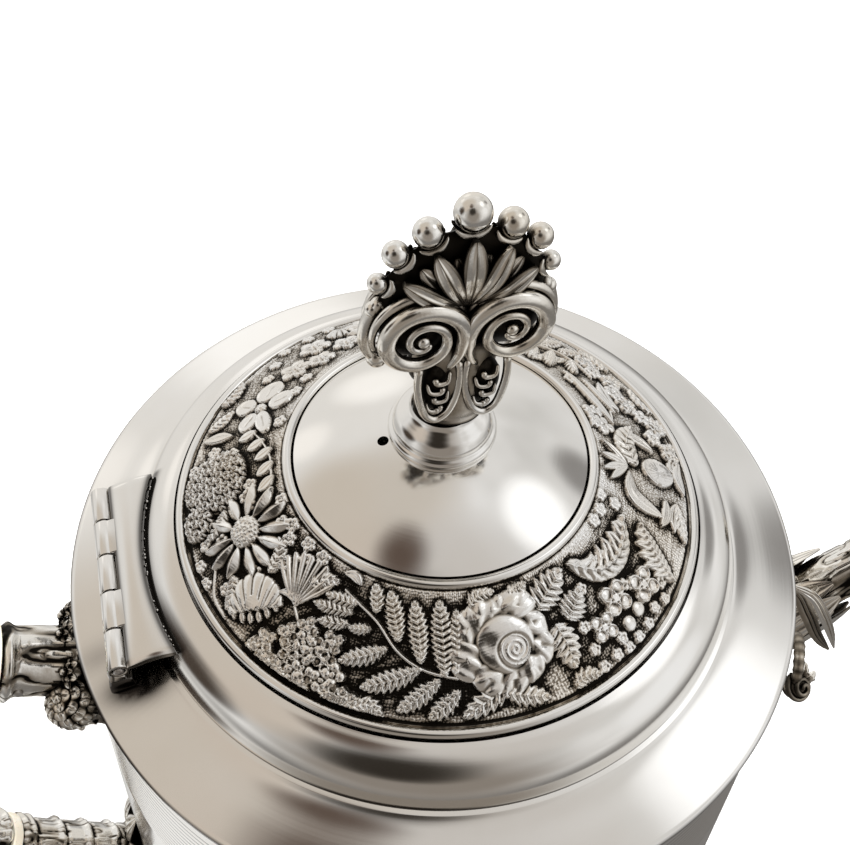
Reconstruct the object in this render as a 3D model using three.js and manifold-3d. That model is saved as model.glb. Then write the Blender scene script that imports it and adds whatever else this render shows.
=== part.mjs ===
// A silver-plated drum teapot with a hinged, flower-banded lid, a branch handle and a branch spout.
// Millimetres, +Z up, origin on the table under the middle of the pot.
// The handle is on -X, the spout on +X, and the lid's hinge is over the handle.

import * as THREE from "three";
import Module from "manifold-3d";
import { mergeVertices } from "three/addons/utils/BufferGeometryUtils.js";

const wasm = await Module();
wasm.setup();

// ---- Driving dimensions -------------------------------------------------------------------------

const GAP = 0.3; // left between touching pieces
const SHEET = 1.2; // thickness of the spun sheet metal
const TURN = 48; // steps round the large turned pieces
const SMALL_TURN = 20; // steps round the small turned pieces

const RIM_Z = 140; // height of the shoulder's sharp edge
const RIM_R = 63.5; // radius of that edge
const WALL_TOP_R = 62.55; // the drum's radius just under the edge
const WALL_FLARE = 0.075; // growth of the drum's radius for each millimetre down
const WALL_BOTTOM_Z = 7.2;

const FOOT_R = 74.9; // widest part of the foot moulding
const FOOT_INNER_R = 67;
const FOOT_TOP_Z = 6.9;

const SEAT_Z = RIM_Z + 3.6; // flat ledge that carries the lid
const SEAT_R = 51.7;
const SLOPE_R = 53.7; // where the slope turns up to the seat
const SLOPE_Z = RIM_Z + 2.6;
const MOUTH_R = 43.9; // clear radius of the mouth
const COLLAR_DEPTH = 11.6;

const LID_R = 51.2; // the lid's lower edge
const LID_Z = SEAT_Z + GAP; // the lid's underside
const OUTER_BEAD = { r: 43.1, z: RIM_Z + 12.1, wire: 0.8 };
const INNER_BEAD = { r: 24.8, z: RIM_Z + 22.8, wire: 0.8 };
const BEAD_CLEAR = 1.1; // from a bead wire's middle to the sheet on each side of it
const DOME_CURVE_R = 44.6; // radius of curvature of the dome
const DOME_TOP_Z = RIM_Z + 29.5;
const BEZEL_R = 43.2; // ring under the lid that drops into the mouth
const BEZEL_BOTTOM_Z = 138.5;
const VENT = { x: -9.6, y: 0, r: 0.9 }; // steam hole through the dome

const HINGE = { x: -55.8, z: RIM_Z + 7, barrel: 1.7, bore: 1.1, pin: 0.8, length: 35 };
const KNUCKLES = 5;
const LEAF_INNER_X = -46.6; // inner corners of the leaf on the lid
const LEAF_TOP_Z = RIM_Z + 9.5;
const LEAF_SHEET = 1.3;

const STUD_R = 1.6; // threaded stud that holds the finial
const STUD_HOLE_R = 2.0;
const FINIAL_LEAN = THREE.MathUtils.degToRad(2.5);
const FINIAL_FOOT_R = 8.45;
const FINIAL_FOOT_Z = RIM_Z + 29.0;
const FINIAL_NECK_R = 5.3;
const FINIAL_NECK_Z = RIM_Z + 35.0;
const PALMETTE_Z = RIM_Z + 35.3;
const PALMETTE_THICK = 5.4;
const PALMETTE_SHIFT = 0.5; // it stands a little off the axis

const ARM_R = 6.2; // the handle's thickness at its sockets, as a radius
const GRIP_R = 7.0; // and in the middle of the grip
const TENON_R = 3.2;
const TENON_LENGTH = 7;
const INSULATOR_THICK = 2.4;
const INSULATOR_R = 7.0;
const UPPER_SOCKET_LENGTH = 22.3; // along the handle, from inside the wall to the insulator
const LOWER_SOCKET_LENGTH = 48.6;
const PIN_R = 0.8;

const SPOUT_WALL = 1.2;
const LEAF_CUP = { from: 2, to: 56, thick: 3.2, taper: 0.5 }; // round the spout's root
const STRAINER = { z: 46, hole: 1.9, pitch: 5.6 };

// ---- Materials ----------------------------------------------------------------------------------

function finish(color, roughness, metalness) {
  return new THREE.MeshStandardMaterial({ color, roughness, metalness });
}

const polished = () => finish(0xd9d8d4, 0.12, 1);
const cast = () => finish(0xb4b1aa, 0.32, 1);
const inside = () => finish(0xa9a8a3, 0.4, 1);
const steel = () => finish(0x8d8a86, 0.35, 1);
const ivory = () => finish(0xe8dfc8, 0.45, 0);

// ---- Solids -------------------------------------------------------------------------------------

const teapot = new THREE.Group();

// Adds one named piece to a group.
function piece(name, geometry, material, group = teapot) {
  const mesh = new THREE.Mesh(geometry, material);
  mesh.name = name;
  group.add(mesh);
  return mesh;
}

function toSolid(geometry) {
  const bare = geometry.clone();
  bare.deleteAttribute("normal");
  bare.deleteAttribute("uv");
  const merged = mergeVertices(bare, 1e-3);
  return new wasm.Manifold(
    new wasm.Mesh({
      numProp: 3,
      vertProperties: merged.attributes.position.array,
      triVerts: new Uint32Array(merged.index.array),
    }),
  );
}

function toGeometry(solid) {
  const mesh = solid.getMesh();
  const geometry = new THREE.BufferGeometry();
  geometry.setAttribute("position", new THREE.BufferAttribute(mesh.vertProperties, 3));
  geometry.setIndex(new THREE.BufferAttribute(mesh.triVerts, 1));
  geometry.computeVertexNormals();
  return geometry;
}

function join(...geometries) {
  return toGeometry(geometries.map(toSolid).reduce((sum, solid) => sum.add(solid)));
}

function cut(geometry, ...tools) {
  return toGeometry(tools.map(toSolid).reduce((left, tool) => left.subtract(tool), toSolid(geometry)));
}

// Turns an outline of [radius, height] points about the Z axis. The outline closes on itself
// unless it starts and ends on the axis.
function turned(outline, steps = TURN) {
  const points = outline.map(([r, z]) => new THREE.Vector2(r, z));
  const onAxis = points[0].x === 0 && points.at(-1).x === 0;
  if (!onAxis) points.push(points[0].clone());
  if (THREE.ShapeUtils.area(points) < 0) points.reverse();
  return new THREE.LatheGeometry(points, steps).rotateX(Math.PI / 2);
}

// Points of an arc on an outline, from one angle to another in degrees.
function arc(r, z, radius, from, to, steps) {
  return Array.from({ length: steps + 1 }, (_, i) => {
    const angle = THREE.MathUtils.degToRad(from + ((to - from) * i) / steps);
    return [r + radius * Math.cos(angle), z + radius * Math.sin(angle)];
  });
}

// A straight round bar along Y.
function barAlongY(x, z, radius, from, to, sides = 16) {
  return new THREE.CylinderGeometry(radius, radius, to - from, sides)
    .translate(0, (from + to) / 2, 0)
    .translate(x, 0, z);
}

// Bends a turned outline of [radius, distance] points round a plane curve in XZ, so that
// distance runs along the curve.
function bent(outline, curve, sides = 12) {
  const points = outline.map(([r, s]) => new THREE.Vector2(r, s));
  const onAxis = points[0].x === 0 && points.at(-1).x === 0;
  if (!onAxis) points.push(points[0].clone());
  if (THREE.ShapeUtils.area(points) < 0) points.reverse();
  const geometry = new THREE.LatheGeometry(points, sides);
  const position = geometry.attributes.position;
  const length = curve.getLength();
  for (let i = 0; i < position.count; i++) {
    const along = THREE.MathUtils.clamp(position.getY(i) / length, 0, 1);
    const middle = curve.getPointAt(along);
    const ahead = curve.getTangentAt(along);
    const across = new THREE.Vector3(ahead.z, 0, -ahead.x);
    middle.addScaledVector(across, position.getX(i));
    middle.y -= position.getZ(i);
    position.setXYZ(i, middle.x, middle.y, middle.z);
  }
  return geometry;
}

// The same bar, closed on its axis at both ends. radiusAt gives its radius at a distance.
function bar(curve, radiusAt, from, to, steps, sides = 12) {
  const outline = [[0, from]];
  for (let i = 0; i <= steps; i++) {
    const s = from + ((to - from) * i) / steps;
    outline.push([radiusAt(s), s]);
  }
  outline.push([0, to]);
  return bent(outline, curve, sides);
}

// ---- Drum ---------------------------------------------------------------------------------------

const wallRadius = (z) => WALL_TOP_R + WALL_FLARE * (RIM_Z - z);

// A solid drum a little larger than the wall, which trims what is fastened to the wall.
function drum(margin = GAP) {
  return turned([
    [0, 0],
    [wallRadius(0) + margin, 0],
    [wallRadius(RIM_Z) + margin, RIM_Z],
    [0, RIM_Z],
  ]);
}

// Tea passes to the spout through seven holes: one in the middle of a ring of six.
function strainerHoles() {
  const x = wallRadius(STRAINER.z) - SHEET / 2;
  const hole = (y, z) =>
    new THREE.CylinderGeometry(STRAINER.hole, STRAINER.hole, 12, 8)
      .rotateZ(Math.PI / 2)
      .translate(x, y, STRAINER.z + z);
  const ring = Array.from({ length: 6 }, (_, i) => {
    const angle = (Math.PI * i) / 3;
    return hole(STRAINER.pitch * Math.cos(angle), STRAINER.pitch * Math.sin(angle));
  });
  return [hole(0, 0), ...ring];
}

function makeDrum() {
  const top = RIM_Z - 1.6;
  const wall = turned([
    [wallRadius(WALL_BOTTOM_Z), WALL_BOTTOM_Z],
    [wallRadius(top), top],
    [wallRadius(top) - SHEET, top],
    [wallRadius(WALL_BOTTOM_Z) - SHEET, WALL_BOTTOM_Z],
  ]);
  piece("body_wall", cut(wall, ...strainerHoles()), polished());

  const plateR = wallRadius(WALL_BOTTOM_Z) - SHEET - GAP;
  piece(
    "base_plate",
    turned([
      [0, FOOT_TOP_Z + GAP + 2],
      [plateR - 8, FOOT_TOP_Z + GAP + 2],
      [plateR - 4, FOOT_TOP_Z + GAP],
      [plateR, FOOT_TOP_Z + GAP],
      [plateR, FOOT_TOP_Z + GAP + SHEET],
      [plateR - 3.4, FOOT_TOP_Z + GAP + SHEET],
      [plateR - 7.4, FOOT_TOP_Z + GAP + SHEET + 2],
      [0, FOOT_TOP_Z + GAP + SHEET + 2],
    ]),
    inside(),
  );

  piece(
    "foot_ring",
    turned([
      [FOOT_INNER_R, 0],
      [FOOT_R - 0.9, 0],
      ...arc(FOOT_R - 1.8, 1.8, 1.8, -30, 80, 3),
      [FOOT_R - 2.4, 4.4],
      [FOOT_R - 1.2, 5.5],
      [FOOT_R - 2.2, FOOT_TOP_Z],
      [FOOT_INNER_R, FOOT_TOP_Z],
      [FOOT_INNER_R, FOOT_TOP_Z - SHEET],
      [FOOT_R - 5, FOOT_TOP_Z - SHEET],
      [FOOT_R - 5, SHEET],
      [FOOT_INNER_R, SHEET],
    ]),
    polished(),
  );

  piece(
    "shoulder",
    turned([
      [RIM_R, RIM_Z],
      [SLOPE_R, SLOPE_Z],
      [SEAT_R, SEAT_Z],
      [MOUTH_R + SHEET + GAP, SEAT_Z],
      [MOUTH_R + SHEET + GAP, SEAT_Z - SHEET],
      [SEAT_R, SEAT_Z - SHEET],
      [SLOPE_R - 0.5, SLOPE_Z - SHEET],
      [RIM_R - 1.3, RIM_Z - SHEET],
      [RIM_R, RIM_Z - SHEET],
    ]),
    polished(),
  );

  piece(
    "mouth_collar",
    turned([
      [MOUTH_R, SEAT_Z],
      [MOUTH_R + SHEET, SEAT_Z],
      [MOUTH_R + SHEET, SEAT_Z - COLLAR_DEPTH],
      [MOUTH_R, SEAT_Z - COLLAR_DEPTH],
    ]),
    inside(),
  );
}

// ---- Lid ----------------------------------------------------------------------------------------

const lid = new THREE.Group();
teapot.add(lid);

const domeHeight = (r) => DOME_TOP_Z - (r * r) / (2 * DOME_CURVE_R);

function beadWire(bead) {
  return turned(arc(bead.r, bead.z, bead.wire, 0, 300, 5));
}

// The rounded step from the lid's lower edge up to the outer bead.
const RIM_INNER_R = OUTER_BEAD.r + BEAD_CLEAR;
const RIM_STEP = [
  [LID_R, LID_Z],
  [LID_R - 0.3, LID_Z + 2.2],
  [LID_R - 1.7, LID_Z + 5],
  [LID_R - 4.4, LID_Z + 7],
  [RIM_INNER_R, LID_Z + 8],
];

function makeLid() {
  piece(
    "lid_rim",
    turned([
      [BEZEL_R + 2.8, LID_Z],
      ...RIM_STEP,
      [RIM_INNER_R, LID_Z + 8 - SHEET],
      [LID_R - 5, LID_Z + 5.8],
      [LID_R - 2.8, LID_Z + 4.2],
      [LID_R - 1.5, LID_Z + SHEET],
      [BEZEL_R + 2.8, LID_Z + SHEET],
    ]),
    polished(),
    lid,
  );

  piece(
    "lid_bezel",
    turned([
      [BEZEL_R - SHEET, BEZEL_BOTTOM_Z],
      [BEZEL_R, BEZEL_BOTTOM_Z],
      [BEZEL_R, LID_Z],
      [BEZEL_R + 2.5, LID_Z],
      [BEZEL_R + 2.5, LID_Z + SHEET],
      [BEZEL_R - SHEET, LID_Z + SHEET],
    ]),
    inside(),
    lid,
  );

  piece("outer_bead", beadWire(OUTER_BEAD), polished(), lid);
  piece("inner_bead", beadWire(INNER_BEAD), polished(), lid);

  const bandOuter = OUTER_BEAD.r - BEAD_CLEAR;
  const bandInner = INNER_BEAD.r + BEAD_CLEAR;
  piece(
    "flower_band",
    turned([
      [bandOuter, OUTER_BEAD.z],
      [bandOuter, OUTER_BEAD.z + SHEET],
      [bandInner, INNER_BEAD.z + 0.2],
      [bandInner, INNER_BEAD.z - SHEET],
    ]),
    cast(),
    lid,
  );

  const domeOuter = INNER_BEAD.r - BEAD_CLEAR;
  const domeTop = [];
  const domeUnder = [];
  const rings = 4;
  for (let i = 0; i <= rings; i++) {
    const r = domeOuter + ((STUD_HOLE_R - domeOuter) * i) / rings;
    domeTop.push([r, domeHeight(r)]);
    domeUnder.unshift([r, domeHeight(r) - SHEET]);
  }
  const vent = new THREE.CylinderGeometry(VENT.r, VENT.r, 12, 8)
    .rotateX(Math.PI / 2)
    .translate(VENT.x, VENT.y, domeHeight(Math.hypot(VENT.x, VENT.y)));
  piece("lid_dome", cut(turned([...domeTop, ...domeUnder]), vent), polished(), lid);
}

// ---- Finial -------------------------------------------------------------------------------------

// The balls round the edge of the palmette: each one's angle from upright, its distance from the
// middle of the fan and its radius.
const FAN_MIDDLE_Z = RIM_Z + 57;
const FAN_R = 11.8;
const BALLS = [
  { angle: 0, reach: 14.3, radius: 2.6 },
  { angle: 25.8, reach: 13.2, radius: 2.1 },
  { angle: 47.7, reach: 13.4, radius: 1.85 },
  { angle: 70, reach: 12.9, radius: 1.45 },
  { angle: 91, reach: 12.6, radius: 1.2 },
];
const VOLUTE = { x: 6.4, z: RIM_Z + 53, r: 6.1, half: 4.6 };
const CURL = { x: 11.8, z: RIM_Z + 47.4, r: 1.6 }; // ball at the end of each side tendril

function ball(x, z, radius) {
  return new THREE.SphereGeometry(radius, 8, 6).rotateX(Math.PI / 2).translate(x, 0, z);
}

// The fan behind leaves and volutes, with the waisted cup of leaves under it.
function fanPlate() {
  const shape = new THREE.Shape();
  const middle = FAN_MIDDLE_Z - PALMETTE_Z;
  shape.moveTo(-4.8, 0);
  shape.quadraticCurveTo(-5.2, 6, -6.9, 9.5);
  shape.quadraticCurveTo(-12.2, 9.8, -13.2, 12.4);
  shape.quadraticCurveTo(-14, 16, -FAN_R, middle + 3);
  shape.absarc(0, middle, FAN_R, Math.PI * 0.92, Math.PI * 0.08, true);
  shape.quadraticCurveTo(14, 16, 13.2, 12.4);
  shape.quadraticCurveTo(12.2, 9.8, 6.9, 9.5);
  shape.quadraticCurveTo(5.2, 6, 4.8, 0);
  shape.closePath();
  const plate = new THREE.ExtrudeGeometry(shape, {
    depth: PALMETTE_THICK,
    bevelEnabled: false,
    curveSegments: 6,
  });
  return plate.rotateX(Math.PI / 2).translate(0, PALMETTE_THICK / 2, PALMETTE_Z);
}

function makePalmette() {
  const parts = [fanPlate()];
  for (const side of [-1, 1]) {
    parts.push(barAlongY(side * VOLUTE.x, VOLUTE.z, VOLUTE.r, -VOLUTE.half, VOLUTE.half, 12));
    for (const { angle, reach, radius } of BALLS.filter((b) => b.angle > 0 || side > 0)) {
      const turn = THREE.MathUtils.degToRad(side * angle);
      parts.push(ball(reach * Math.sin(turn), FAN_MIDDLE_Z + reach * Math.cos(turn), radius));
    }
    parts.push(ball(side * CURL.x, CURL.z, CURL.r));
  }
  const bore = new THREE.CylinderGeometry(STUD_HOLE_R, STUD_HOLE_R, 14, 10)
    .rotateX(Math.PI / 2)
    .translate(-PALMETTE_SHIFT, 0, PALMETTE_Z);
  return cut(join(...parts), bore);
}

function makeFinial() {
  // The finial leans a little towards the spout, about the middle of its foot.
  const leaning = new THREE.Group();
  leaning.position.set(0, 0, FINIAL_NECK_Z);
  leaning.rotation.y = FINIAL_LEAN;
  const level = new THREE.Group();
  level.position.set(PALMETTE_SHIFT, 0, -FINIAL_NECK_Z);
  leaning.add(level);
  lid.add(leaning);

  piece(
    "finial_foot",
    turned(
      [
        [STUD_HOLE_R, FINIAL_FOOT_Z + 0.6],
        [FINIAL_FOOT_R - 1.5, FINIAL_FOOT_Z + 0.3],
        [FINIAL_FOOT_R, FINIAL_FOOT_Z + 0.1],
        ...arc(FINIAL_FOOT_R - 0.7, FINIAL_FOOT_Z + 0.9, 0.7, -40, 90, 3),
        [FINIAL_FOOT_R - 1.4, FINIAL_FOOT_Z + 2.4],
        [FINIAL_NECK_R + 0.6, FINIAL_FOOT_Z + 4.2],
        [FINIAL_NECK_R, FINIAL_NECK_Z],
        [STUD_HOLE_R, FINIAL_NECK_Z],
      ],
      SMALL_TURN,
    ),
    polished(),
    lid,
  );
  piece("finial_palmette", makePalmette(), cast(), level);

  const domeUnderZ = domeHeight(0) - SHEET;
  const stud = new THREE.CylinderGeometry(STUD_R, STUD_R, 18, 10);
  stud.rotateX(Math.PI / 2).translate(0, 0, PALMETTE_Z + 6 - 9);
  piece("finial_stud", stud, steel(), lid);

  const washerTop = domeUnderZ - GAP - 0.4;
  const ringOutline = (outer, top, thick) => [
    [STUD_HOLE_R, top],
    [outer, top],
    [outer, top - thick],
    [STUD_HOLE_R, top - thick],
  ];
  piece("finial_washer", turned(ringOutline(5.5, washerTop, 0.8), SMALL_TURN), steel(), lid);
  piece("finial_nut", turned(ringOutline(4.0, washerTop - 0.8 - GAP, 3), 6), steel(), lid);
}

// ---- Hinge --------------------------------------------------------------------------------------

// The barrel's five knuckles alternate: first, third and fifth belong to the pot.
function knuckle(index, radius, margin = 0) {
  const pitch = HINGE.length / KNUCKLES;
  const from = -HINGE.length / 2 + index * pitch + GAP / 2 - margin;
  const to = from + pitch - GAP + 2 * margin;
  return { from, to, solid: barAlongY(HINGE.x, HINGE.z, radius, from, to, 20) };
}

function block(x0, x1, y0, y1, z0, z1) {
  return new THREE.BoxGeometry(x1 - x0, y1 - y0, z1 - z0).translate(
    (x0 + x1) / 2,
    (y0 + y1) / 2,
    (z0 + z1) / 2,
  );
}

function makeHinge() {
  const half = HINGE.length / 2;
  const bore = barAlongY(HINGE.x, HINGE.z, HINGE.bore, -half - 1, half + 1, 16);
  const evens = [0, 2, 4];
  const odds = [1, 3];

  // Leaf on the pot: a saddle that follows the shoulder, with a web up to each of its knuckles.
  const saddle = block(HINGE.x - 2, HINGE.x + 1.8, -half, half, RIM_Z, HINGE.z - HINGE.barrel - GAP);
  const potParts = [saddle];
  for (const i of evens) {
    const { from, to, solid } = knuckle(i, HINGE.barrel);
    potParts.push(solid, block(HINGE.x - 1.7, HINGE.x + 1.0, from, to, RIM_Z + 3, HINGE.z));
  }
  const shoulderTop = turned([
    [0, RIM_Z - 4],
    [RIM_R + 4, RIM_Z - 4],
    [RIM_R + 4, RIM_Z - 0.75],
    [SLOPE_R, SLOPE_Z + GAP],
    [SEAT_R - 0.4, SEAT_Z + GAP],
    [0, SEAT_Z + GAP],
  ]);
  const lidKnuckleRooms = odds.map((i) => knuckle(i, HINGE.barrel + GAP, 0).solid);
  piece(
    "hinge_pot_leaf",
    cut(join(...potParts), shoulderTop, bore, ...lidKnuckleRooms),
    polished(),
  );

  // Leaf on the lid: an arched plate that runs from its two knuckles to the lid's round step,
  // which it meets along a curve.
  const plate = new THREE.Shape();
  const barrelTop = HINGE.z + HINGE.barrel;
  plate.moveTo(HINGE.x, barrelTop);
  plate.quadraticCurveTo(HINGE.x + 4, barrelTop + 1.5, LEAF_INNER_X, LEAF_TOP_Z);
  plate.lineTo(LEAF_INNER_X, LEAF_TOP_Z - LEAF_SHEET);
  plate.quadraticCurveTo(HINGE.x + 5, barrelTop - 0.1, HINGE.x + 2.4, HINGE.z);
  plate.lineTo(HINGE.x, HINGE.z);
  plate.closePath();
  const plateSolid = new THREE.ExtrudeGeometry(plate, {
    depth: HINGE.length,
    bevelEnabled: false,
    curveSegments: 5,
  })
    .rotateX(Math.PI / 2)
    .translate(0, half, 0);
  const lidStep = turned([
    [0, LID_Z - 1],
    [LID_R + GAP, LID_Z - 1],
    ...RIM_STEP.map(([r, z]) => [r + GAP, z + GAP]),
    [0, LID_Z + 8 + GAP],
  ]);
  const potKnuckleRooms = evens.map((i) => knuckle(i, HINGE.barrel + GAP, GAP).solid);
  piece(
    "hinge_lid_leaf",
    cut(
      join(plateSolid, ...odds.map((i) => knuckle(i, HINGE.barrel).solid)),
      ...potKnuckleRooms,
      lidStep,
      bore,
    ),
    polished(),
    lid,
  );

  piece(
    "hinge_pin",
    barAlongY(HINGE.x, HINGE.z, HINGE.pin, -half - 0.2, half + 0.2, 12),
    steel(),
  );
}

// ---- Handle -------------------------------------------------------------------------------------

// The middle line of the handle, from inside the wall at the top to inside the wall at the foot.
const handleCurve = new THREE.CatmullRomCurve3(
  [
    [-60, 119],
    [-76, 127.3],
    [-93, 133.5],
    [-109, 131],
    [-120, 118],
    [-122.4, 99],
    [-117, 76],
    [-107, 56],
    [-92, 38.5],
    [-76, 22.5],
    [-66, 13],
  ].map(([x, z]) => new THREE.Vector3(x, 0, z)),
  false,
  "centripetal",
);

// The handle's pieces are tubes: the insulators' tenons fit their bore.
function armTube(radiusAt, from, to, steps) {
  const outer = [];
  const inner = [];
  for (let i = 0; i <= steps; i++) {
    const s = from + ((to - from) * i) / steps;
    outer.push([radiusAt(s), s]);
    inner.unshift([TENON_R + GAP, s]);
  }
  return bent([...outer, ...inner], handleCurve);
}

function pinHole(s, radius) {
  const middle = handleCurve.getPointAt(s / handleCurve.getLength());
  return barAlongY(middle.x, middle.z, radius, -ARM_R - 0.4, ARM_R + 0.4, 8);
}

function makeInsulator(name, s) {
  const half = INSULATOR_THICK / 2;
  const end = half + TENON_LENGTH;
  const outline = [
    [0, s - end],
    [TENON_R, s - end],
    [TENON_R, s - half],
    [INSULATOR_R, s - half],
    [INSULATOR_R, s + half],
    [TENON_R, s + half],
    [TENON_R, s + end],
    [0, s + end],
  ];
  const holes = [s - end / 2 - half, s + end / 2 + half].map((at) => pinHole(at, PIN_R + GAP));
  piece(name, cut(bent(outline, handleCurve, 12), ...holes), ivory());
}

function makeHandle() {
  const length = handleCurve.getLength();
  const upperS = UPPER_SOCKET_LENGTH;
  const lowerS = length - LOWER_SOCKET_LENGTH;
  const half = INSULATOR_THICK / 2 + GAP;
  const pinAt = INSULATOR_THICK / 2 + (INSULATOR_THICK / 2 + TENON_LENGTH) / 2;
  const armRadius = () => ARM_R;

  const upper = armTube(armRadius, 0, upperS - half, 3);
  const upperPin = pinHole(upperS - pinAt, PIN_R + GAP);
  piece("handle_upper_socket", cut(upper, drum(), upperPin), cast());

  const lower = armTube(armRadius, lowerS + half, length, 4);
  const lowerPin = pinHole(lowerS + pinAt, PIN_R + GAP);
  piece("handle_lower_socket", cut(lower, drum(), lowerPin), cast());

  const swell = (s) => {
    const t = (s - upperS) / (lowerS - upperS);
    return ARM_R + (GRIP_R - ARM_R) * Math.sin(Math.PI * t);
  };
  const grip = armTube(swell, upperS + half, lowerS - half, 16);
  const gripPins = [upperS + pinAt, lowerS - pinAt].map((s) => pinHole(s, PIN_R + GAP));
  piece("handle_grip", cut(grip, ...gripPins), cast());

  makeInsulator("upper_insulator", upperS);
  makeInsulator("lower_insulator", lowerS);
  const pins = {
    upper_socket_pin: upperS - pinAt,
    upper_grip_pin: upperS + pinAt,
    lower_grip_pin: lowerS - pinAt,
    lower_socket_pin: lowerS + pinAt,
  };
  for (const [name, s] of Object.entries(pins)) piece(name, pinHole(s, PIN_R), steel());

  // Cast bosses of flowers and leaves round the roots of the two arms.
  const aroundArm = bar(handleCurve, () => ARM_R + GAP, 0, upperS + 4, 4);
  const flowerBoss = new THREE.SphereGeometry(1, 14, 8)
    .scale(8, 15, 14)
    .translate(-wallRadius(118) + 1, -1.5, 117);
  piece("handle_flower_mount", cut(flowerBoss, drum(), aroundArm), cast());

  const aroundFoot = bar(handleCurve, () => ARM_R + GAP, lowerS + 4, length, 6);
  const leafBoss = new THREE.SphereGeometry(1, 14, 8)
    .scale(6, 12, 17)
    .translate(-wallRadius(24) + 1, 0, 25);
  piece("handle_leaf_mount", cut(leafBoss, drum(), aroundFoot), cast());
}

// ---- Spout --------------------------------------------------------------------------------------

// The middle line of the spout, from inside the wall to the lip.
const spoutCurve = new THREE.CatmullRomCurve3(
  [
    [58, 36],
    [73, 49],
    [88, 67.5],
    [99.8, 77.8],
    [109.8, 85.6],
    [116.5, 96.5],
    [120, 110.5],
    [121.8, 125],
    [123, 139],
  ].map(([x, z]) => new THREE.Vector3(x, 0, z)),
  false,
  "centripetal",
);

// The spout is wide at the wall, narrows quickly and opens a little at the lip.
function spoutRadius(s) {
  const t = s / spoutCurve.getLength();
  return 6.0 + 11 * Math.exp(-((t / 0.24) ** 2)) + 0.9 * Math.exp((t - 1) / 0.06);
}

function hollowBar(curve, radiusAt, wall, from, to, steps, sides) {
  const outer = [];
  const inner = [];
  for (let i = 0; i <= steps; i++) {
    const s = from + ((to - from) * i) / steps;
    outer.push([radiusAt(s), s]);
    inner.unshift([radiusAt(s) - wall, s]);
  }
  return bent([...outer, ...inner], curve, sides);
}

function makeSpout() {
  const length = spoutCurve.getLength();
  const tube = hollowBar(spoutCurve, spoutRadius, SPOUT_WALL, 0, length, 14, 12);
  piece("spout", cut(tube, drum()), cast());

  // A cup of leaves clasps the spout's root.
  const cupRadius = (s) => spoutRadius(s) + GAP;
  const cup = [];
  const cupInner = [];
  const steps = 6;
  for (let i = 0; i <= steps; i++) {
    const s = LEAF_CUP.from + ((LEAF_CUP.to - LEAF_CUP.from) * i) / steps;
    const thick = LEAF_CUP.thick * (1 - (LEAF_CUP.taper * i) / steps);
    cup.push([cupRadius(s) + thick, s]);
    cupInner.unshift([cupRadius(s), s]);
  }
  piece("spout_leaf_cup", cut(bent([...cup, ...cupInner], spoutCurve, 12), drum()), cast());
}

makeDrum();
makeLid();
makeFinial();
makeHinge();
makeHandle();
makeSpout();

export default teapot;
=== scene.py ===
"""Looks of the silver teapot: smooth polished shells, chased flowers, bark, leaves, silver finishes."""

import math

import bpy
import numpy as np
from mathutils import Matrix, Vector


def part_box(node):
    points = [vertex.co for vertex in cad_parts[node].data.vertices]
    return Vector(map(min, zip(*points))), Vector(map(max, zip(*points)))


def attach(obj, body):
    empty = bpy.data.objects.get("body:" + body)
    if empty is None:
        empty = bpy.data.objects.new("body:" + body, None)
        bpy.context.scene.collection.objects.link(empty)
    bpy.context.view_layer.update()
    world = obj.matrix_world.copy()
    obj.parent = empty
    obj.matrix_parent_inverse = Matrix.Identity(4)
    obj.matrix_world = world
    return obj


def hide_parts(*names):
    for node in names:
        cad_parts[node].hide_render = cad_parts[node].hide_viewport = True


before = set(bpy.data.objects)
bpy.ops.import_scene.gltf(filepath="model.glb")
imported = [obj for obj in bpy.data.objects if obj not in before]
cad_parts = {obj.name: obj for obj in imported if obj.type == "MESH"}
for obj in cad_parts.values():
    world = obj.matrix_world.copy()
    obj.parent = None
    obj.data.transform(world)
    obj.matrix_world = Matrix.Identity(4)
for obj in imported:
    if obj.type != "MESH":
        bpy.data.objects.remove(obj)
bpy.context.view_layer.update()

MM = 0.001
rng = np.random.default_rng(7)


# ---- Sizes taken from the frame, in millimetres --------------------------------------------------

def low(node):
    """The lowest x, y and z of a node."""
    return np.array(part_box(node)[0]) / MM


def high(node):
    """The highest x, y and z of a node."""
    return np.array(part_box(node)[1]) / MM


RIM_R = high("shoulder")[0]
SEAT_Z = high("shoulder")[2]
RIM_Z = SEAT_Z - 3.6
WALL_BOTTOM_Z = low("body_wall")[2]
WALL_TOP_R = 62.55
WALL_FLARE = 0.075
FOOT_R = high("foot_ring")[0]
LID_R = high("lid_rim")[0]
LID_Z = low("lid_rim")[2]
OUTER_BEAD_R = 43.1
OUTER_BEAD_Z = RIM_Z + 12.1
INNER_BEAD_R = 24.8
INNER_BEAD_Z = RIM_Z + 22.8
DOME_CURVE_R = 44.6
DOME_TOP_Z = RIM_Z + 29.5
HINGE_X = -55.8
HINGE_Z = RIM_Z + 7
HINGE_HALF = high("hinge_pot_leaf")[1]
LEAF_END_R = 49.9  # the circle where the hinge's upper leaf meets the lid
SHEET = 1.2  # thickness of the spun metal
REED_PITCH, REED_FOOT, REED_TOP, REED_DEPTH = 1.8, 109.0, 134.2, 0.2  # the turned lines under the shoulder
STRAINER_Z, STRAINER_PITCH, STRAINER_HOLE_R = 46, 5.6, 1.9
VENT_X, VENT_HOLE_R = -9.6, 0.9
DOME_R = 23.7
SEAT_LEDGE_R = 45.4


# ---- Meshes ----------------------------------------------------------------------------------------

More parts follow.
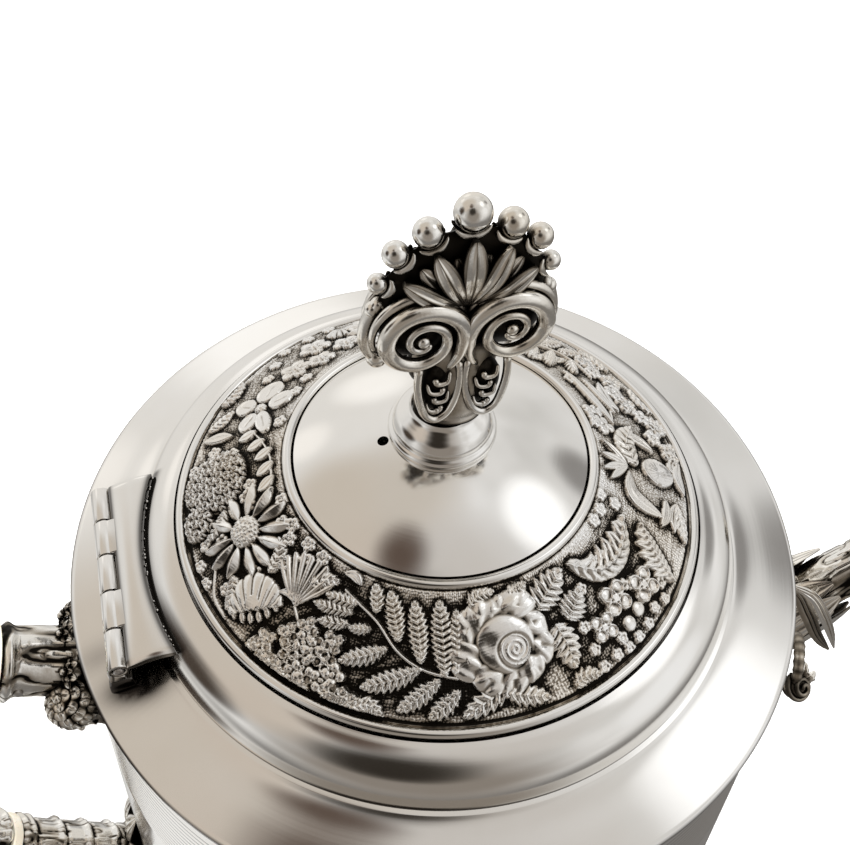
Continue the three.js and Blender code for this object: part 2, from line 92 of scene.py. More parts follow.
def turned_out(points, faces):
    """The faces, turned round if they face inwards as a whole."""
    sizes = {}
    for face in faces:
        sizes.setdefault(len(face), []).append(face)
    volume = 0.0
    for size, group in sizes.items():
        corners = points[np.array(group)]
        for k in range(1, size - 1):
            volume += np.sum(corners[:, 0] * np.cross(corners[:, k], corners[:, k + 1]))
    return faces if volume > 0 else [face[::-1] for face in faces]


def mesh_piece(name, points, faces, body, finish, replaces, sharp):
    """A mesh from points in millimetres, riding on a body. finish is a (material, slot) pair; the slot is not used.
    """
    material, slot = finish
    points = np.asarray(points)
    faces = turned_out(points, [tuple(int(k) for k in face) for face in faces])
    mesh = bpy.data.meshes.new(name)
    mesh.from_pydata((points * MM).tolist(), [], faces)
    mesh.validate()
    mesh.polygons.foreach_set("use_smooth", np.ones(len(mesh.polygons), bool))
    mesh.set_sharp_from_angle(angle=math.radians(sharp))
    mesh.materials.append(material)
    piece = bpy.data.objects.new(name, mesh)
    bpy.context.scene.collection.objects.link(piece)
    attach(piece, body)
    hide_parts(*replaces)
    return piece


def paint(piece, values):
    """How black each point of the piece is, from 0 to 1, for its material to read: patina and painted shade."""
    patina_and_shade = piece.data.attributes.new("patina_and_shade", "FLOAT", "POINT")
    patina_and_shade.data.foreach_set("value", np.asarray(values, float).ravel())


def corners(piece):
    """The piece's points in millimetres."""
    places = np.empty(3 * len(piece.data.vertices))
    piece.data.vertices.foreach_get("co", places)
    return places.reshape(-1, 3) / MM


def grid_faces(rows, columns, close_rows, close_columns):
    """Quads of a grid of points, row after row."""
    i = np.arange(rows if close_rows else rows - 1)
    j = np.arange(columns if close_columns else columns - 1)
    i, j = (a.ravel() for a in np.meshgrid(i, j, indexing="ij"))
    i2, j2 = (i + 1) % rows, (j + 1) % columns
    return np.stack((i * columns + j, i * columns + j2, i2 * columns + j2, i2 * columns + j), -1)


def full_turn(steps):
    """Angles evenly round a circle, in radians."""
    return np.linspace(0, 2 * math.pi, steps, endpoint=False)


def bell(x, width):
    """A bell curve: 1 where x is 0, and almost nothing two widths away."""
    return np.exp(-((x / width) ** 2))


def cap(q, power=2):
    """The height of a rounded cap of size one, a share q of the way out to its edge."""
    return np.sqrt(np.clip(1 - q**power, 0, 1))


def rounded(outline, radius, steps=4):
    """The outline with each corner cut by a small curve. The outline closes on itself."""
    outline = [np.array(p, float) for p in outline]
    result = []
    for before, corner, after in zip(outline[-1:] + outline[:-1], outline, outline[1:] + outline[:1]):
        a, b = before - corner, after - corner
        la, lb = np.linalg.norm(a), np.linalg.norm(b)
        cut = min(radius, la * 0.45, lb * 0.45)
        p, q = corner + a / la * cut, corner + b / lb * cut
        for t in np.linspace(0, 1, steps):
            result.append((1 - t) ** 2 * p + 2 * t * (1 - t) * corner + t**2 * q)
    return result


def smooth_line(points, steps):
    """A smooth line through the points, as a centripetal Catmull-Rom curve."""
    p = np.asarray(points, float)
    p = np.vstack([2 * p[0] - p[1], p, 2 * p[-1] - p[-2]])
    line = []
    for a, b, c, d in zip(p[:-3], p[1:-2], p[2:-1], p[3:]):
        ab, bc, cd = (np.sqrt(np.linalg.norm(v)) for v in (b - a, c - b, d - c))
        leave = ((b - a) / ab - (c - a) / (ab + bc) + (c - b) / bc) * bc
        arrive = ((c - b) / bc - (d - b) / (bc + cd) + (d - c) / cd) * bc
        for t in np.linspace(0, 1, steps, endpoint=False):
            line.append(
                (2 * t**3 - 3 * t**2 + 1) * b
                + (t**3 - 2 * t**2 + t) * leave
                + (3 * t**2 - 2 * t**3) * c
                + (t**3 - t**2) * arrive
            )
    return np.array(line + [p[-2]])


def turned(name, outline, body, finish, replaces, steps=256, sharp=35):
    """An outline of (radius, height) points turned about the Z axis."""
    outline = np.asarray(outline, float)
    area = np.sum(outline[:, 0] * np.roll(outline[:, 1], -1) - np.roll(outline[:, 0], -1) * outline[:, 1])
    if area < 0:
        outline = outline[::-1]
    angle = full_turn(steps)[:, None]
    r, z = outline[:, 0][None, :], outline[:, 1][None, :]
    points = np.stack([r * np.cos(angle), r * np.sin(angle), z + 0 * angle], -1)
    faces = grid_faces(steps, len(outline), True, True)
    return mesh_piece(name, points.reshape(-1, 3), faces, body, finish, replaces, sharp)


# ---- Materials ---------------------------------------------------------------------------------------

def material(name):
    """A new material, its node tree and its shader."""
    made = bpy.data.materials.new(name)
    made.use_nodes = True
    return made, made.node_tree, made.node_tree.nodes["Principled BSDF"]


def node(tree, kind, settings=None, **inputs):
    """A node with its settings. Inputs go by name, or by index as _0, and are values or other nodes' outputs."""
    made = tree.nodes.new(kind)
    for key, value in (settings or {}).items():
        setattr(made, key, value)
    for key, value in inputs.items():
        socket = made.inputs[int(key[1:]) if key[0] == "_" else key.replace("_", " ")]
        if isinstance(value, bpy.types.NodeSocket):
            tree.links.new(value, socket)
        else:
            socket.default_value = value
    return made


def object_place(tree):
    """Where a point is on the object, in metres."""
    return node(tree, "ShaderNodeTexCoord").outputs["Object"]


def clouds(tree, place, scale, detail, roughness=0.5):
    """Noise from 0 to 1. scale is in cells to the metre."""
    made = node(tree, "ShaderNodeTexNoise", Vector=place, Scale=scale, Detail=detail, Roughness=roughness)
    return made.outputs[0]


def mix(tree, share, first, second, blend="MIX"):
    """The first colour with a share of the second."""
    settings = {"data_type": "RGBA", "blend_type": blend}
    return node(tree, "ShaderNodeMix", settings, Factor=share, _6=first, _7=second).outputs[2]


def patina_and_shade(tree):
    """The black painted on a piece's points: patina and painted shade."""
    return node(tree, "ShaderNodeAttribute", {"attribute_name": "patina_and_shade"}).outputs["Fac"]


def dress(tree, shader, colour, rough, height, strength, depth=0.0002, metallic=1.0):
    """Gives the shader its colour, its roughness and a bump from a height."""
    bump = node(tree, "ShaderNodeBump", Strength=strength, Distance=depth, Height=height).outputs[0]
    for name, value in (("Base Color", colour), ("Roughness", rough), ("Normal", bump)):
        tree.links.new(value, shader.inputs[name])
    shader.inputs["Metallic"].default_value = metallic


def maths(tree, operation, a, b=0.0, clamp=False):
    """The output of a Math node."""
    return node(tree, "ShaderNodeMath", {"operation": operation, "use_clamp": clamp}, _0=a, _1=b).outputs[0]


def ramp(tree, factor, *stops):
    """A colour ramp. Each stop is (place, colour)."""
    made = node(tree, "ShaderNodeValToRGB", Fac=factor)
    elements = made.color_ramp.elements
    while len(elements) < len(stops):
        elements.new(0.5)
    for element, (place, colour) in zip(elements, stops):
        element.position = place
        element.color = (*colour, 1)
    return made.outputs[0]


def grey(v):
    """A grey colour."""
    return (v, v, v)


def shaded(tint, *shares):
    """The tint with its red, green and blue each cut to a share."""
    return tuple(c * k for c, k in zip(tint, shares))


SILVER = (0.93, 0.92, 0.9)
CAST_TINT = (0.93, 0.92, 0.89)
PAINTED_SHADE_BLACK = (0.02, 0.014, 0.01, 1)
SPIN_LINES = 2600.0  # to the metre


def polished_silver():
    """Hand-polished plate: fine rings from spinning, faint wipe marks, a little tarnish, and painted shade in its
    seams, grooves and under the hinge.
    """
    made, tree, shader = material("polished_silver")
    coords = object_place(tree)
    x, y, z = node(tree, "ShaderNodeSeparateXYZ", Vector=coords).outputs
    squares = maths(tree, "ADD", maths(tree, "MULTIPLY", x, x), maths(tree, "MULTIPLY", y, y))
    r = maths(tree, "SQRT", squares)
    ring = node(
        tree, "ShaderNodeCombineXYZ", X=maths(tree, "MULTIPLY", r, SPIN_LINES),
        Y=maths(tree, "MULTIPLY", z, SPIN_LINES)
    )
    spun = node(
        tree, "ShaderNodeTexNoise", {"noise_dimensions": "2D"}, Vector=ring.outputs[0], Scale=1.0, Detail=3.0
    )
    stretch = node(tree, "ShaderNodeMapping", Vector=coords, Rotation=(0.4, 0.2, 0.7), Scale=(900, 30, 120))
    scratch = clouds(tree, stretch.outputs[0], 1.0, 2.0)
    tarnish = clouds(tree, coords, 16.0, 5.0, 0.65)
    colour = ramp(tree, tarnish, (0.3, shaded(SILVER, 0.93, 0.985 * 0.93, 0.96 * 0.93)), (0.62, SILVER))
    wipe = clouds(tree, coords, 38.0, 6.0, 0.6)
    rough = ramp(tree, wipe, (0.3, grey(0.075)), (0.7, grey(0.16)))
    fine = maths(tree, "ADD", spun.outputs[0], maths(tree, "MULTIPLY", scratch, 0.35))
    dress(tree, shader, mix(tree, patina_and_shade(tree), colour, PAINTED_SHADE_BLACK), rough, fine, 0.01)
    return made


def blackened(tree, shader, dark, tint, bright_roughness, dark_roughness):
    """Silver whose recesses have gone black, with painted shade where a piece asks for it. dark is 0 on the bright
    metal and 1 where it is black.
    """
    coords = object_place(tree)
    smear = clouds(tree, coords, 260.0, 4.0, 0.6)
    patch = clouds(tree, coords, 70.0, 3.0)
    smeared = maths(tree, "ADD", dark, maths(tree, "MULTIPLY", maths(tree, "SUBTRACT", smear, 0.5), 0.35), True)
    warm = ramp(tree, patch, (0.35, shaded(tint, 0.95, 0.91, 0.85)), (0.6, tint))
    film = ramp(tree, smeared, (0.12, grey(1)), (0.45, (0.45, 0.41, 0.36)), (0.85, (0.014, 0.012, 0.01)))
    rough = ramp(tree, smeared, (0.1, grey(bright_roughness)), (0.8, grey(dark_roughness)))
    dress(tree, shader, mix(tree, 1.0, warm, film, "MULTIPLY"), rough, clouds(tree, coords, 1500.0, 2.0), 0.12)


def chased_silver():
    """The flower band: its recesses were blackened on purpose, so a painted attribute says where; the attribute
    also paints one side of the band darker as shade.
    """
    made, tree, shader = material("chased_silver")
    blackened(tree, shader, patina_and_shade(tree), SILVER, 0.17, 0.5)
    return made


def cast_silver():
    """Cast ornament: polished where a cloth reaches and black where it does not."""
    made, tree, shader = material("cast_silver")
    open_air = node(tree, "ShaderNodeAmbientOcclusion", {"samples": 8}, Distance=0.0028).outputs["AO"]
    edge = node(tree, "ShaderNodeNewGeometry").outputs["Pointiness"]
    hollow = ramp(tree, edge, (0.43, grey(0.8)), (0.5, grey(0)))
    dark = maths(tree, "ADD", ramp(tree, open_air, (0.38, grey(1)), (0.76, grey(0.0))), hollow)
    blackened(tree, shader, maths(tree, "ADD", dark, patina_and_shade(tree), True), CAST_TINT, 0.15, 0.5)
    return made


def plain_silver():
    """Unpolished silver inside the pot, with dull grey wipe marks and a tea stain."""
    made, tree, shader = material("inner_silver")
    coords = object_place(tree)
    stain = clouds(tree, coords, 30.0, 6.0, 0.65)
    colour = ramp(tree, stain, (0.35, (0.45, 0.41, 0.36)), (0.6, (0.74, 0.72, 0.69)))
    rough = ramp(tree, stain, (0.3, grey(0.42)), (0.7, grey(0.28)))
    dress(tree, shader, colour, rough, clouds(tree, coords, 900.0, 3.0), 0.1)
    return made


def turned_steel():
    """Steel wire and nuts: fine lathe marks and a trace of rust."""
    made, tree, shader = material("steel")
    coords = object_place(tree)
    rust = clouds(tree, coords, 420.0, 5.0, 0.7)
    marks = node(
        tree, "ShaderNodeTexWave", {"bands_direction": "Y"}, Vector=coords, Scale=SPIN_LINES, Distortion=1.0
    )
    colour = ramp(tree, rust, (0.3, (0.2, 0.12, 0.07)), (0.45, (0.5, 0.48, 0.46)), (0.7, (0.6, 0.58, 0.56)))
    rough = ramp(tree, rust, (0.35, grey(0.6)), (0.6, grey(0.3)))
    dress(tree, shader, colour, rough, marks.outputs[1], 0.15, 0.0001)
    return made


def bone():
    """Pale bone discs with fine grain and darker pores."""
    made, tree, shader = material("bone")
    coords = object_place(tree)
    cloud = clouds(tree, coords, 120.0, 4.0)
    pores = node(tree, "ShaderNodeTexVoronoi", Vector=coords, Scale=1300.0).outputs["Distance"]
    tone = ramp(tree, cloud, (0.3, (0.72, 0.64, 0.5)), (0.65, (0.86, 0.81, 0.7)))
    colour = mix(tree, ramp(tree, pores, (0.05, grey(0.55)), (0.2, grey(0))), tone, (0.36, 0.27, 0.17, 1))
    rough = ramp(tree, cloud, (0.3, grey(0.42)), (0.7, grey(0.3)))
    dress(tree, shader, colour, rough, pores, 0.1, metallic=0.0)
    shader.inputs["Subsurface Weight"].default_value = 0.15
    shader.inputs["Subsurface Radius"].default_value = (0.002, 0.0012, 0.0007)
    return made


# Each finish is a material and the name of a slot, which nothing here reads.
POLISHED = (polished_silver(), "polished_silver")
CHASED = (chased_silver(), "cast_silver")
CAST = (cast_silver(), "cast_silver")
INNER = (plain_silver(), "inner_silver")
STEEL = (turned_steel(), "steel")
BONE = (bone(), "ivory")


# ---- The drum ------------------------------------------------------------------------------------------

def wall_radius(z):
    """The radius of the drum's outside at a height."""
    return WALL_TOP_R + WALL_FLARE * (RIM_Z - z)


def drilled(piece, holes):
    """Cuts round holes through the piece: each is (middle, direction, radius), in millimetres."""
    tool = Shells()
    for middle, direction, radius in holes:
        middle, way = np.array(middle), np.array(direction) * 4.0
        tool.tube(np.linspace(middle - way, middle + way, 2), radius, 24, 1.0, (0, 0.6, 0.8), False)
    points = np.vstack(tool.points)
    mesh = bpy.data.meshes.new("drill")
    mesh.from_pydata((points * MM).tolist(), [], turned_out(points, tool.faces))
    drill = bpy.data.objects.new("drill", mesh)
    bpy.context.scene.collection.objects.link(drill)
    modifier = piece.modifiers.new("holes", "BOOLEAN")
    modifier.operation, modifier.object, modifier.solver = "DIFFERENCE", drill, "EXACT"
    bpy.context.view_layer.update()
    cut = bpy.data.meshes.new_from_object(piece.evaluated_get(bpy.context.evaluated_depsgraph_get()))
    piece.modifiers.clear()
    piece.data = cut
    bpy.data.objects.remove(drill)


def make_wall():
    """The drum's wall: reeds under the shoulder, painted shade between them, and the strainer behind the spout."""
    top = high("body_wall")[2]
    plain = np.linspace(WALL_BOTTOM_Z, REED_FOOT - 1, 12)
    reeded = np.arange(REED_FOOT, REED_TOP, REED_PITCH / 6)
    heights = np.concatenate([plain, reeded, np.linspace(REED_TOP + 0.1, top, 4)])
    phase = (heights - REED_FOOT) / REED_PITCH
    reeds = REED_DEPTH * np.abs(np.sin(math.pi * phase)) ** 0.6 - REED_DEPTH
    reeds = np.where((heights > REED_FOOT) & (heights < REED_TOP), reeds, 0)
    outer = list(zip(wall_radius(heights) + reeds, heights))
    inner = [(wall_radius(z) - SHEET, z) for z in np.linspace(top, WALL_BOTTOM_Z, 12)]
    wall = turned("drum_wall", outer + inner, "pot", POLISHED, ["body_wall"], sharp=50)
    ring = [(STRAINER_PITCH * math.cos(a), STRAINER_PITCH * math.sin(a)) for a in np.radians(range(0, 360, 60))]
    x = wall_radius(STRAINER_Z) - SHEET / 2
    drilled(wall, [((x, y, STRAINER_Z + z), (1, 0, 0), STRAINER_HOLE_R) for y, z in [(0, 0), *ring]])
    # The grooves between the reeds are painted black, as shade.
    x, y, z = corners(wall).T
    phase = (z - REED_FOOT) / REED_PITCH
    groove_shade = (phase > 0.5) & (z < REED_TOP) & (np.hypot(x, y) > wall_radius(z) - 2 * REED_DEPTH)
    paint(wall, 0.85 * groove_shade * (np.abs(phase - np.round(phase)) < 0.1))


def make_foot():
    """The moulded ring that the pot stands on."""
    foot = [
        (67, 0), (FOOT_R - 1.4, 0), (FOOT_R - 0.4, 0.6), (FOOT_R, 1.8), (FOOT_R - 0.4, 3.0),
        (FOOT_R - 1.4, 3.8), (FOOT_R - 2.4, 4.3), (FOOT_R - 2.0, 4.9), (FOOT_R - 1.3, 5.5),
        (FOOT_R - 1.6, 6.3), (FOOT_R - 2.4, 6.9), (67, 6.9), (67, 5.7), (FOOT_R - 5, 5.7),
        (FOOT_R - 5, 1.2), (67, 1.2),
    ]
    turned("foot_moulding", rounded(foot, 0.5), "pot", POLISHED, ["foot_ring"], sharp=60)


def make_shoulder():
    """The sloping shoulder, with painted shade under its rolled edge, about the ends of the hinge and under its
    leaf.
    """
    slope = smooth_line(
        [
            (RIM_R - 0.4, RIM_Z + 0.15), (58.5, RIM_Z + 1.45), (54.2, RIM_Z + 2.6), (52.6, RIM_Z + 3.2),
            (51.8, SEAT_Z),
        ],
        8
    )
    shoulder = [
        (RIM_R, RIM_Z - 0.15), *slope, (SEAT_LEDGE_R, SEAT_Z), (SEAT_LEDGE_R, SEAT_Z - SHEET),
        (51.5, SEAT_Z - SHEET), (53.2, RIM_Z + 1.4), (62.2, RIM_Z - 1.2), (RIM_R - 0.2, RIM_Z - 1.2),
        (RIM_R, RIM_Z - 0.9),
    ]
    piece = turned("sloping_shoulder", shoulder, "pot", POLISHED, ["shoulder"], steps=360)
    x, y, z = corners(piece).T
    r = np.hypot(x, y)
    # Painted shade: black under the rolled edge, dark spots about the hinge's ends and a band under the hinge leaf.
    under_rim_shade = (r > RIM_R - 0.25) & (z < RIM_Z)
    shade_spots = ((-52.5, -18.0, 1.0), (-55.5, -17.2, 0.8), (-59.4, -10.6, 0.35), (-51.5, 18.5, 0.7))  # x, y, strength
    hinge_end_shade = sum(k * np.exp(-(((x - a) / 4.2) ** 2) - ((y - b) / 2.6) ** 2) for a, b, k in shade_spots)
    under_leaf_shade = 0.8 * (np.abs(y) < HINGE_HALF) * (r < 55) * (x < -48)
    paint(piece, np.clip(0.9 * under_rim_shade + np.where(z > RIM_Z, hinge_end_shade + under_leaf_shade, 0), 0, 0.95))


def make_lid_shells():
    """The lid's stepped rim, the two wires beside the band and the dome with its vent."""
    rim_top = high("lid_rim")[2]
    step = [
        (LID_R, LID_Z + 0.2), (LID_R - 0.1, LID_Z + 1.4), (LID_R - 0.5, LID_Z + 3.0), (LID_R - 1.6, LID_Z + 4.9),
        (LID_R - 3.6, LID_Z + 6.5), (LID_R - 5.6, LID_Z + 7.5), (44.3, rim_top - 0.1),
    ]
    outline = [
        *smooth_line(step, 8), (44.2, rim_top - 0.3), (44.2, rim_top - 1.2), (46.2, LID_Z + 5.8),
        (48.4, LID_Z + 4.2), (49.7, LID_Z + 1.2), (46, LID_Z + 1.2), (46, LID_Z), (LID_R - 0.2, LID_Z),
    ]
    piece = turned("lid_step", outline, "lid", POLISHED, ["lid_rim"], steps=360)
    x, y, z = corners(piece).T
    r = np.hypot(x, y)
    # Painted shade: a dark line in the gap by the end of the hinge leaf and along the lid's lower outer edge.
    hinge_gap_shade = bell(r - LEAF_END_R + 0.7, 0.8) * (np.abs(y) < HINGE_HALF + 0.4) * (x < 0) * (z > LID_Z + 1)
    paint(piece, 0.8 * np.maximum(hinge_gap_shade, (r > LID_R - 0.25) * (z < LID_Z + 0.5)))

    for name, r, z, node_name in (
        ("outer_wire", OUTER_BEAD_R, OUTER_BEAD_Z, "outer_bead"),
        ("inner_wire", INNER_BEAD_R, INNER_BEAD_Z, "inner_bead")
    ):
        ring = [(r + 0.8 * math.cos(a), z + 0.8 * math.sin(a)) for a in full_turn(20)]
        turned(name, ring, "lid", POLISHED, [node_name], steps=360, sharp=80)

    radii = np.linspace(DOME_R, 2.0, 40)
    top = [(r, DOME_TOP_Z - r * r / (2 * DOME_CURVE_R)) for r in radii]
    under = [(r, z - SHEET) for r, z in top[::-1]]
    dome = turned("dome_cap", top + under, "lid", POLISHED, ["lid_dome"], steps=300)
    drilled(dome, [((VENT_X, 0, DOME_TOP_Z - 1.6), (0, 0, 1), VENT_HOLE_R)])


def make_inside():
    """The neck of the mouth, the floor of the pot and the ring under the lid."""
    z, top = low("mouth_collar")[2], high("mouth_collar")[2]
    collar = rounded([(43.9, z), (45.1, z), (45.1, top), (43.9, top)], 0.4)
    turned("mouth_neck", collar, "pot", INNER, ["mouth_collar"])
    z, plate = low("base_plate")[2], high("base_plate")[0]
    tray = [
        (0.5, z + 2), (plate - 8, z + 2), (plate - 4, z), (plate, z), (plate, z + 1.2), (plate - 3.4, z + 1.2),
        (plate - 7.4, z + 3.2), (0.5, z + 3.2),
    ]
    turned("floor_plate", rounded(tray, 0.8), "pot", INNER, ["base_plate"])
    z, top = low("lid_bezel")[2], high("lid_bezel")[2]
    bezel = [(42, z), (43.2, z), (43.2, LID_Z), (45.7, LID_Z), (45.7, top), (42, top)]
    turned("lid_locating_ring", rounded(bezel, 0.35), "lid", INNER, ["lid_bezel"])


def make_fixings():
    """The finial's threaded stud, its washer and its six-sided nut."""
    bottom, top = low("finial_stud")[2], high("finial_stud")[2]
    thread = [(1.6 - 0.16 * (k % 2), z) for k, z in enumerate(np.linspace(bottom + 0.4, top - 0.4, 60))]
    turned(
        "finial_thread", [(0.3, bottom), (1.3, bottom), *thread, (1.3, top), (0.3, top)], "lid", STEEL,
        ["finial_stud"], steps=48, sharp=20
    )
    z0, z1 = low("finial_washer")[2], high("finial_washer")[2]
    turned(
        "finial_washer_ring", rounded([(2, z0), (5.5, z0), (5.5, z1), (2, z1)], 0.15), "lid", STEEL,
        ["finial_washer"], steps=96
    )
    z0, z1 = low("finial_nut")[2], high("finial_nut")[2]
    nut = rounded([(2.0, z0), (4.0, z0), (4.0, z1), (2.0, z1)], 0.3, 3)
    a = full_turn(96)[:, None]
    hexagon = np.cos(math.pi / 6) / np.cos((a + math.pi / 6) % (math.pi / 3) - math.pi / 6)
    r, z = np.array(nut)[:, 0][None, :], np.array(nut)[:, 1][None, :]
    r = 2.0 + (r - 2.0) * (4.0 * hexagon - 2.0) / 2.0
    points = np.stack([r * np.cos(a), r * np.sin(a), z + 0 * a], -1).reshape(-1, 3)
    mesh_piece("finial_hex_nut", points, grid_faces(96, len(nut), True, True), "lid", STEEL, ["finial_nut"], 25)


# ---- Small noises ------------------------------------------------------------------------------------

def scatter(i, j, seed):
    """A number from 0 to 1 for each whole-number cell."""
    value = np.sin(i * 127.1 + j * 311.7 + seed * 74.7) * 43758.5453
    return value - np.floor(value)


def noise(x, y, seed):
    """Smooth noise from 0 to 1 with a cell of size one."""
    i, j = np.floor(x), np.floor(y)
    u, v = x - i, y - j
    u, v = u * u * (3 - 2 * u), v * v * (3 - 2 * v)
    near = scatter(i, j, seed) * (1 - u) + scatter(i + 1, j, seed) * u
    far = scatter(i, j + 1, seed) * (1 - u) + scatter(i + 1, j + 1, seed) * u
    return near * (1 - v) + far * v


def bumps(x, y, seed):
    """Round bumps from 0 to 1, one at a random place in each cell of size one."""
    height = np.zeros(np.broadcast(x, y).shape)
    for di in (-1, 0, 1):
        for dj in (-1, 0, 1):
            i, j = np.floor(x) + di, np.floor(y) + dj
            dx = x - i - 0.5 - 0.55 * (scatter(i, j, seed) - 0.5)
            dy = y - j - 0.5 - 0.55 * (scatter(i, j, seed + 5) - 0.5)
            height = np.maximum(height, 1 - (dx * dx + dy * dy) / 0.42**2)
    return np.sqrt(np.clip(height, 0, 1))


def blurred(a, reach):
    """The mean over a square of 2 * reach + 1 cells, taken twice. Columns wrap round."""
    for _ in range(2):
        for axis in (0, 1):
            mode = "wrap" if axis == 1 else "edge"
            padding = [(0, 0), (0, 0)]
            padding[axis] = (reach + 1, reach)
            total = np.cumsum(np.pad(a, padding, mode=mode), axis=axis)
            size = a.shape[axis]
            width = 2 * reach + 1
            a = (np.take(total, range(width, width + size), axis) - np.take(total, range(size), axis)) / width
    return a


# ---- Relief of flowers on the band ---------------------------------------------------------------------

BAND_OUTER = (OUTER_BEAD_R - 0.6, OUTER_BEAD_Z + 0.9)  # radius and height of the band's edges
BAND_INNER = (INNER_BEAD_R + 0.6, INNER_BEAD_Z + 0.35)
BAND_SLOPE = (
    math.hypot(BAND_OUTER[0] - BAND_INNER[0], BAND_INNER[1] - BAND_OUTER[1]) / (BAND_OUTER[0] - BAND_INNER[0])
)


class Relief:
    """Heights over the band, on a grid of azimuths in degrees and radii in millimetres.

    A place is an (azimuth, radius) pair. A direction is in degrees: 0 along the azimuth, 90 inwards.
    """

    def __init__(self, rows, columns):
        self.azimuth = np.linspace(0, 360, columns, endpoint=False)
        self.radius = np.linspace(BAND_OUTER[0], BAND_INNER[0], rows)
        self.height = np.zeros((rows, columns))

    def local(self, azimuth, radius, origin):
        """Millimetres along the band and inwards from an origin."""
        x = np.radians((azimuth - origin[0] + 180) % 360 - 180) * radius
        return x, (origin[1] - radius) * BAND_SLOPE

    def stamp(self, origin, reach, shape):
        """Raises the ground to the heights that shape gives at millimetre offsets from the origin."""
        wide = math.degrees(reach / max(origin[1] - reach / BAND_SLOPE, BAND_INNER[0]))
        columns = np.nonzero(np.abs((self.azimuth - origin[0] + 180) % 360 - 180) < wide)[0]
        rows = np.nonzero(np.abs(self.radius - origin[1]) < reach / BAND_SLOPE)[0]
        x, y = self.local(self.azimuth[columns][None, :], self.radius[rows][:, None], origin)
        patch = np.ix_(rows, columns)
        self.height[patch] = np.maximum(self.height[patch], shape(x, y))

    def leaf(
        self, places, width, height=0.7, lift=0.28, teeth=0, veins=0, dish=0.0, fullest=0.5, tip=0.8, roof=False
    ):
        """A pointed leaf along a line of places. teeth notch its edges, veins slant across it, dish hollows it
        and roof folds it to a ridge."""
        origin = places[len(places) // 2]
        line = np.array([self.local(a, r, origin) for a, r in places])
        if len(line) > 2:
            line = smooth_line(line, 5)
        power = math.log(0.5) / math.log(fullest)
        reach = np.abs(line).max() + width

        def shape(x, y):
            t, d = along(x, y, line)
            half = width / 2 * np.sin(math.pi * np.clip(t, 0, 1) ** power) ** tip + 1e-6
            if teeth:
                half = half * (0.76 + 0.4 * ((t * teeth) % 1.0))
            c = np.abs(d) / half
            full = (1 - dish * np.clip(1 - c * c, 0, 1)) * cap(c, 4)
            if roof:
                full = np.clip(1 - c, 0, 1) ** 0.8 * (0.25 + 0.75 * np.sin(math.pi * np.clip(t, 0, 1)) ** 0.5)
            if veins:
                full = full * (0.3 + 0.7 * np.abs(np.sin(math.pi * (t * veins - c * 0.9))))
            rib = bell(d, 0.14) * np.clip(4 * (1 - t), 0, 1)
            h = lift + (height - lift) * full + (0 if roof else 0.16 if veins or dish else -0.16) * rib
            return np.where(c < 1, h, 0)

        self.stamp(origin, reach, shape)

    def stem(self, places, width=0.5, height=0.4):
        """A round stalk along a line of places."""
        origin = places[len(places) // 2]
        line = smooth_line([self.local(a, r, origin) for a, r in places], 6)

        def shape(x, y):
            _, d = along(x, y, line)
            return height * np.sqrt(np.clip(1 - (2 * d / width) ** 2, 0, 1))

        self.stamp(origin, np.abs(line).max() + width, shape)

    def ball(self, place, radius, height, stipple=0.0, lift=0.2):
        """A round boss, stippled if asked."""

        def shape(x, y):
            q = np.hypot(x, y) / radius
            h = lift + (height - lift) * cap(q)
            h = h + stipple * bumps(x / 0.62, y / 0.62, 3)
            return np.where(q < 1, h, 0)

        self.stamp(place, radius + 0.2, shape)

    def petal(self, place, direction, distance, length, width, height, lift, lines):
        """A round petal, dished, with a raised lip and fine lines fanning out from the flower's middle."""
        turn = math.radians(direction)

        def shape(x, y):
            u, v = rotated(x, y, turn)
            q = np.hypot((u - distance) / (length / 2), v / (width / 2))
            fan = np.abs(np.sin(lines * np.arctan2(v, np.maximum(u, 0.3)) * 2.2))
            h = lift + (height - lift) * (0.2 + 0.8 * q**4) + 0.16 * fan * (1 - q)
            return np.where(q < 1, h * np.clip((1 - q) / 0.08, 0.3, 1), 0)

        self.stamp(place, distance + length, shape)

    def floret(self, place, radius, petals, height=0.5, turn=0.0, rim=False):
        """A small flower of round petals about a sunk middle with a seed. Rimmed petals are hollow."""

        def shape(x, y):
            h = 0 * x
            for k in range(petals):
                a = 2 * math.pi * k / petals + turn
                q = np.hypot(x - 0.56 * radius * math.cos(a), y - 0.56 * radius * math.sin(a)) / (0.46 * radius)
                full = cap(q)
                if rim:
                    full = np.maximum(bell(q - 0.74, 0.2), 0.6 - 0.25 * q)
                h = np.maximum(h, np.where(q < 1, 0.25 + (height - 0.1) * full, 0))
            rho = np.hypot(x, y) / radius
            h = h - 0.25 * bell(rho, 0.3)
            return np.maximum(h, np.where(rho < 0.2, height, 0))

        self.stamp(place, radius * 1.05, shape)


def rotated(x, y, turn):
    """Offsets along a direction and across it."""
    return x * math.cos(turn) + y * math.sin(turn), -x * math.sin(turn) + y * math.cos(turn)


